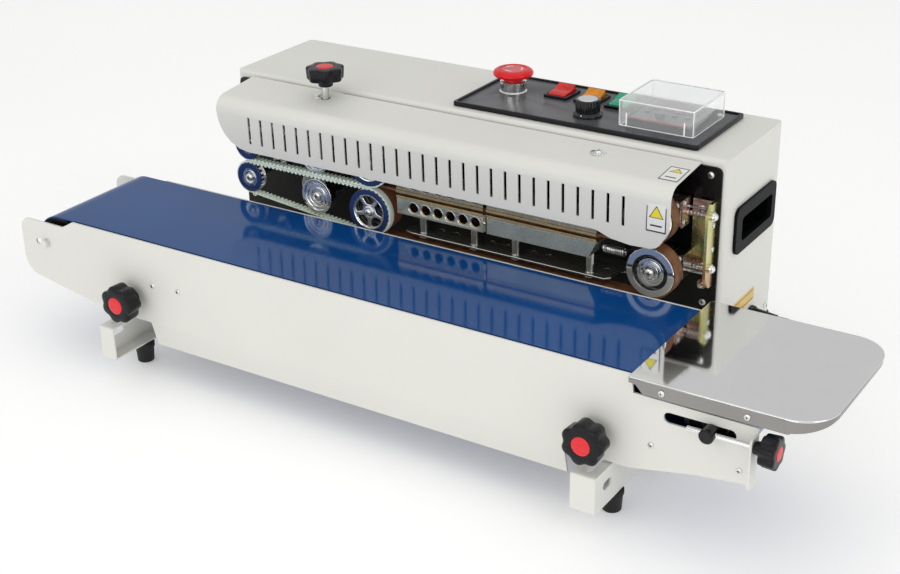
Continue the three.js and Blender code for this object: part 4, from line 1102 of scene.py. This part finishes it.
# ------------------------------------------------------------------ sealing blocks
def block(kind, level):
    node = f"{level}_{kind}_block"
    low, high = ends(node)
    side = 1 if level == "upper" else -1
    front, back = low.y, -36
    near = 186.0 if side > 0 else 183.0
    far = near + side * 19.8
    piece = Piece(node.replace("_", "-"), "cabinet", 0.3)
    split = near + side * (5.6 if side > 0 else 3.4)
    z0, z1 = sorted((split, far))
    if kind == "cooling":
        holes = [circle(low.x + 19.8 + k * 14.4, near + side * 10.9, 5.6, 32) for k in range(6)]
        outer = [(low.x, z0), (high.x, z0), (high.x, z1), (low.x, z1)]
        plate_with_holes(piece, "y", outer, holes, front, back, ALUMINIUM, 0.5)
        for k in range(6):
            at = low.x + 19.8 + k * 14.4, near + side * 10.9
            piece.lathe("y", at, [(5.65, front + 1), (5.65, back - 0.3), (5.0, back - 0.3),
                (5.0, front + 1)], BRASS, 32)
            piece.lathe("y", at, [(5.5, 0.2), (5.9, -0.35), (6.5, -0.2), (6.5, 0.4), (5.5, 0.9)], CHROME,
                32, start=front)
    else:
        ends_ = [(low.x, split), (high.x, split), (high.x - 8, far), (low.x, far)]
        piece.prism("y", ends_, front, back, HEAT_FACE)
        for k in range(2):
            x = low.x + 42 + k * 42
            piece.box(x, x + 0.5, front - 0.12, front + 1, z0 + 1, z1 - 1, BRASS)
    strips = ((0.0, 2.4, 0.9), (2.9, 5.4, 0.2)) if side > 0 else ((0.0, 1.5, 0.9), (1.9, 3.3, 0.3))
    for start, end, out in strips:
        a, b = sorted((near + side * start, near + side * end))
        piece.box(low.x - 0.2, high.x + 0.2, front - out, back, a, b, BRASS)
    a, b = sorted((near + side * 1.4, near + side * 2.9))
    piece.box(low.x + 0.4, high.x - 0.4, front + 0.4, back - 1, a, b, PTFE)
    if side > 0:
        for x in (low.x + 16, high.x - 16):
            piece.rod("y", (x, near + 12), 4, back - 1, -2.6, CHROME, 32)
            piece.lathe("y", (x, near + 12), [(4, -30), (6.2, -30), (6.2, -8), (4, -8)], STEEL, 32)
    piece.done([node], SLOTS[node])


def shelf():
    low, high = ends("block_shelf")
    top, post_y, arc_y = 142.0, -43, -30
    piece = Piece("block-shelf", "cabinet", 0.25)
    outline = [(low.x, low.y + 8), (low.x + 4, low.y + 2.4), (low.x + 12, low.y), (high.x - 5, low.y),
        (high.x, low.y + 5), (high.x, high.y), (low.x, high.y)]
    piece.prism("z", outline, top - 2, top, DARK_MIRROR)
    for (xa, ya), (xb, yb) in zip(outline[:5], outline[1:6]):
        piece.tube([Vector((xa, ya, top - 0.3)), Vector((xb, yb, top - 0.3))], 0.55, CHROME, 8)
    posts = (-299, -239, -192, -111)
    for x in posts:
        piece.lathe("z", (x, post_y), [(0, top - 0.4), (5, top - 0.4), (5, top + 0.8), (4.4, top + 1.2),
            (4.4, high.z - 0.6), (4, high.z), (0, high.z)], CHROME, 48)
        piece.prism("z", circle(x, post_y, 5.6, 6), top - 4.6, top - 1.9, ZINC_WHITE)
        for k in range(2):
            base = x + 12 + 18 * k
            arc = [(base + 4 * math.cos(a), arc_y + 4 * math.sin(a))
                for a in (TAU / 2 * t / 8 for t in range(9))]
            arc += [(base + 2.8 * math.cos(a), arc_y + 2.8 * math.sin(a))
                for a in (TAU / 2 * t / 8 for t in range(8, -1, -1))]
            piece.prism("z", arc, top - 0.2, top + 0.15, CHROME)
    piece.done(["block_shelf"], "mirror_steel")
    spring = Piece("block_spring", "cabinet", 0)
    path = [Vector((-97 + 22 * k / 200, -42 + 4 * math.cos(TAU * k / 20), 170 + 4 * math.sin(TAU * k / 20)))
        for k in range(201)]
    spring.tube(path, 0.7, CHROME, 8)
    spring.rod("x", (-42, 170), 1.8, -99, -73.5, STEEL, 24)
    spring.done(slot="steel")
    tag = Piece("block_clamps", "cabinet", 0.2)
    tag.box(-220.4, -217.6, -58.2, -37, 165.5, 182.4, BRASS)
    for x in (-219,):
        pan_screw(tag, "y", (x, 174), -58.2, -1, 2.0, BRASS)
    tag.done(slot="brass")


def bracket():
    def details(piece):
        pan_screw(piece, "y", (-13.5, 156), -5.3, -1, 3.2)
        for z in (176, 200):
            pan_screw(piece, "x", (-9, z), -3, 1, 2.6)
        piece.box(-25.5, -20.5, -5.3, -2.6, 150, 205, ZINC)
        piece.box(-25.5, -7, -6.3, -2.7, 205.2, 222, PINK_ZINC)
        pan_screw(piece, "y", (-17, 213), -6.3, -1, 3.6)
        # hollow caps over the ends of the tension rods
        for node in ("upper_band_wheel", "lower_band_wheel"):
            cap = [(0, -1.0), (3.1, -1.0), (3.1, -2.97), (4.6, -2.97), (4.6, -0.6)]
            cap += [(4.0 * math.cos(TAU / 16 * k), -0.5 + 3.4 * math.sin(TAU / 16 * k)) for k in range(4)]
            piece.lathe("x", (-14, middle(node).z), cap + [(0, 2.9)], CHROME, 24)
    carry("tension_bracket", ZINC, 0.4, details)


# ------------------------------------------------------------------ conveyor
def conveyor():
    def front_details(piece):
        y = -218.0
        for x, z in ((-510.6, 102.5), (-476.7, 104)):
            pan_screw(piece, "y", (x, z), y, -1, 2.6)
        hex_bolt(piece, "y", (-656, 117.5), y, -1, 8, 4.5)
        for x in (40, 118):
            pan_screw(piece, "y", (x, 88), y, -1, 2.6)
    carry("conveyor_front_plate", PAINT, 0.45, front_details)

    def rear_details(piece):
        hex_bolt(piece, "y", (-656, 117.5), -74.0, 1, 8, 4.5)
        for x in (-500, -260, -30):
            pan_screw(piece, "y", (x, 130), -74.0, 1, 2.6)
    carry("conveyor_rear_plate", PAINT, 0.45, rear_details)
    carry("conveyor_bed", SHEET, 0.3)
    belt()
    for node, bore in (("exit_roller", 5.3), ("feed_roller", 4.8)):
        low, high = ends(node)
        centre = middle(node)
        axis = centre.x, centre.z
        radius = (high.z - low.z) / 2
        piece = piece_of(node, 0.3)
        piece.lathe("y", axis, [(bore, low.y + 2), (9, low.y + 2), (9.6, low.y), (12, low.y),
            (13, low.y + 3), (22, low.y + 3), (23.4, low.y), (radius, low.y), (radius, high.y),
            (23.4, high.y), (22, high.y - 3), (13, high.y - 3), (12, high.y), (9.6, high.y),
            (bore, high.y - 2)], PLASTIC, 96)
        for k in range(5):
            angle = TAU * k / 5
            piece.box(axis[0] + 17 * math.cos(angle) - 1, axis[0] + 17 * math.cos(angle) + 1, low.y + 1,
                low.y + 4, axis[1] + 17 * math.sin(angle) - 1, axis[1] + 17 * math.sin(angle) + 1, PLASTIC)
        piece.done([node], SLOTS[node])


def belt():
    low, high = ends("conveyor_belt")
    exit_end, feed_end = middle("exit_roller"), middle("feed_roller")
    length, walk = tangent_loop((exit_end.x, exit_end.z, 28.4), (feed_end.x, feed_end.z, 28.4))
    places = [length * k / 420 for k in range(420)]
    piece = Piece("conveyor-belt", "conveyor", 0)
    piece.loop("y", [walk(d, 1.6) for d in places], [walk(d) for d in places], low.y, high.y, BELT_BLUE)
    piece.done(["conveyor_belt"], "blue_belt", 40)


def feed_axle():
    low, high = ends("feed_roller_axle")
    centre = middle("feed_roller")
    axis = centre.x, centre.z
    piece = Piece("feed-roller-axle", "feed_axle", 0.3)
    piece.rod("y", axis, 4.5, -219, high.y, STEEL, 40)
    piece.lathe("y", axis, [(0, low.y), (5.2, low.y), (6.5, low.y + 1.2), (6.5, -219.4), (5.8, -218.6),
        (0, -218.6)], BLACK_PAINT, 48)
    piece.done(["feed_roller_axle"], SLOTS["feed_roller_axle"])
    low, high = ends("tension_knob")
    axis = -225.0, centre.z
    star_handle("tension-knob", "tension_knob", "x", axis, high.x - 21, 1, 14.5, 21, (74, high.x - 18, 2.5))


def tray():
    low, high = ends("feed_tray")

    def details(piece):
        for x in (50, 124):
            pan_screw(piece, "y", (x, 142.5), low.y, -1, 3.0)
        r, top = 32.0, high.z - 0.9
        path = [Vector((low.x + 1, low.y + 0.2, top)), Vector((high.x - r, low.y + 0.2, top))]
        for k in range(1, 13):
            a = -math.pi / 2 + math.pi / 2 * k / 12
            path.append(Vector((high.x - r + (r - 0.2) * math.cos(a), low.y + r + (r - 0.2) * math.sin(a),
                top)))
        for k in range(13):
            a = math.pi / 2 * k / 12
            path.append(Vector((high.x - r + (r - 0.2) * math.cos(a), high.y - r + (r - 0.2) * math.sin(a),
                top)))
        path.append(Vector((low.x + 1, high.y - 0.2, top)))
        piece.tube(path, 0.95, MIRROR, 12)
        piece.materials.append(SHADED_SIDE_STEEL)
        shaded_side = len(piece.materials) - 1
        # the folded edge keeps its depth along the front and tapers round the corner
        outer, inner, foot, rim = [], [], [], []
        for k in range(13):
            a = -math.pi / 2 + math.pi / 2 * k / 12
            x, y = high.x - r + (r + 0.1) * math.cos(a), low.y + r + (r + 0.1) * math.sin(a)
            drop = (top - low.z - 0.6) * (1 - 0.62 * k / 12)
            u, v = x - 1.1 * math.cos(a), y - 1.1 * math.sin(a)
            outer.append((x, y, top - drop))
            inner.append((u, v, top - drop))
            foot.append((x, y, top - 0.6))
            rim.append((u, v, top - 0.6))
        points = outer + inner + foot + rim
        faces = [(0, 26, 39, 13), (12, 25, 51, 38)]
        for k in range(12):
            faces += [(k, k + 1, 27 + k, 26 + k), (13 + k, 39 + k, 40 + k, 14 + k),
                (k, 13 + k, 14 + k, k + 1), (26 + k, 27 + k, 40 + k, 39 + k)]
        piece.add(points, faces, SHADED_SIDE_STEEL)
        # upright faces of the tray take the darker steel as painted shade on its sides
        for face in piece.mesh.faces:
            if abs(face.normal.z) < 0.3 and face.calc_area() > 12:
                face.material_index = shaded_side
    carry("feed_tray", MIRROR, 0.35, details)


def clamps():
    for side in ("left", "right"):
        carry(f"{side}_clamp_bracket", PAINT, 0.4)
        node = f"{side}_clamp_knob"
        low, high = ends(node)
        centre = (low.x + high.x) / 2, (low.z + high.z) / 2
        knob_foot = low.y + 28
        # the stud's threads run through the plate and into the bracket's slot
        star_handle(f"{side}-clamp-knob", node, "y", centre, knob_foot, -1, 20, 28,
            (knob_foot - 4, high.y, 4))


def arms():
    for side in ("left", "right"):
        node = f"{side}_arm"
        low, high = ends(node)

        def details(piece, low=low, high=high, side=side):
            x = low.x if side == "left" else high.x
            out = -1 if side == "left" else 1
            for y in (20, 110):
                hex_bolt(piece, "x", (y, 40), x, out, 8, 4)
        carry(node, PAINT, 0.5, details)
        for end in ("front", "rear"):
            foot(f"{side}_{end}_foot")
    rest = Piece("arm_bumper", "cabinet", 0.4)
    low, high = ends("right_arm")
    rest.rod("z", ((low.x + high.x) / 2, -118), 8, low.z - 7, low.z - 0.2, RUBBER, 40, 1)
    rest.done(slot="rubber")


def foot(node):
    low, high = ends(node)
    centre = middle(node)
    piece = Piece(node.replace("_", "-"), "cabinet", 0)
    top = high.z
    piece.lathe("z", (centre.x, centre.y), [(0, low.z + 2.5), (3.4, low.z + 2.5), (4.2, low.z),
        (7.9, low.z), (8.6, low.z + 0.7), (9.6, top - 6), (10.5, top - 5.2), (10.5, top - 0.6), (10, top),
        (0, top)], RUBBER, 64)
    piece.done([node], "rubber", 50)


def cord_gland():
    low, high = ends("cord_gland")
    axis = (low.y + high.y) / 2, (low.z + high.z) / 2
    x = 4.0
    piece = Piece("cord-gland", "cabinet", 0.3)
    piece.rod("x", axis, 6, low.x, x + 1, PLASTIC)
    piece.prism("x", circle(*axis, 8.4, 6), x + 0.3, x + 5, PLASTIC)
    profile = [(0, x + 4.6), (7.4, x + 4.6), (7.4, x + 6)]
    for k in range(7):
        at = x + 6.5 + k * 3.3
        radius = 6.6 - 0.33 * k
        profile += [(radius, at), (radius, at + 2.0), (radius - 1.1, at + 2.3), (radius - 1.1, at + 3.0)]
    profile += [(4.3, high.x - 0.6), (4.1, high.x), (0, high.x)]
    piece.lathe("x", axis, profile, PLASTIC, 48)
    piece.done(["cord_gland"], "black_plastic")


def inside():
    carry("base_plate", SHEET, 0.2)

    def details(piece):
        y, z = 42, middle("lower_drive_wheel").z - 14
        for k in range(14):
            at = -318 + k * 5.2
            piece.lathe("x", (y, z), [(24, 0), (25.6, 0), (25.6, 2), (24, 2)], ALUMINIUM, 48, start=at)
        for dx in (-28, 28):
            for dz in (-30, 20):
                hex_bolt(piece, "y", (-355 + dx, middle("lower_drive_wheel").z + dz), 22, -1, 6, 3)
    carry("gear_motor", ALUMINIUM, 0.6, details)
    wires = Piece("wire_loom", "cabinet", 0)
    for k in range(3):
        route = smooth_route([(-260 + 4 * k, 50, 150), (-230, 60 + 5 * k, 110),
            (-120, 70 + 5 * k, 75 + 2 * k), (-40, 74 + 3 * k, 72), (-4, 78, 76)], 8)
        wires.tube(route, 1.5, BLACK_WIRE, 8)
    wires.done(slot="rubber")


# ------------------------------------------------------------------ stage
def light(name, place, target, size, energy, colour=(1, 1, 1)):
    data = bpy.data.lights.new(name, "AREA")
    data.shape = "RECTANGLE"
    data.size, data.size_y = size
    data.energy = energy
    data.color = colour
    lamp = bpy.data.objects.new(name, data)
    lamp.location = place
    lamp.rotation_euler = (Vector(target) - Vector(place)).to_track_quat("-Z", "Y").to_euler()
    bpy.context.collection.objects.link(lamp)
    return lamp


def stage():
    floor_material, tree, shader = nodes_of("studio_floor")
    tree.links.new(ramp(tree, noise(tree, 2).outputs["Fac"],
        [(0.3, (0.88, 0.88, 0.88)), (0.7, (0.9, 0.9, 0.9))]), shader.inputs["Base Color"])
    shader.inputs["Roughness"].default_value = 0.7
    shader.inputs["Emission Color"].default_value = (1, 1, 1, 1)
    shader.inputs["Emission Strength"].default_value = 0.22
    bpy.ops.mesh.primitive_plane_add(size=30, location=(0, 0, -0.0005))
    floor = bpy.context.object
    floor.name = "studio_floor"
    floor.data.materials.append(floor_material)
    world = bpy.data.worlds.new("studio")
    bpy.context.scene.world = world
    world.use_nodes = True
    background = world.node_tree.nodes["Background"]
    background.inputs["Color"].default_value = (1, 1, 0.99, 1)
    background.inputs["Strength"].default_value = 0.66
    light("overhead", (0.1, 0.1, 2.6), (0, 0, 0.1), (3.2, 2.4), 10)
    light("key", (-1.5, -2.6, 1.9), (-0.1, 0, 0.15), (1.6, 1.6), 7)
    light("front", (0.3, -3.2, 0.9), (0, 0, 0.12), (2.2, 1.4), 16)
    light("side", (2.6, -0.6, 1.2), (0, 0, 0.15), (1.4, 1.6), 11)
    bpy.context.scene.view_settings.view_transform = "Standard"


# ------------------------------------------------------------------ the machine
cabinet()
shaft_plate()
handle()
guard()
panel()
stop_button()
for switch, lens in (("red_switch", LENS_RED), ("amber_switch", LENS_AMBER), ("green_switch", LENS_GREEN)):
    rocker(switch, lens)
dial()
meter_cover()
for name in ("lower", "upper"):
    guide_belt(name)
    sealing_band(name)
    drive_pulley(name)
    idle_pulley(name)
    press_wheel(name)
    band_wheel(name)
    band_carrier(name)
    block("cooling", name)
    block("heating", name)
press_gear()
shelf()
bracket()
conveyor()
feed_axle()
tray()
clamps()
arms()
cord_gland()
inside()
stage()
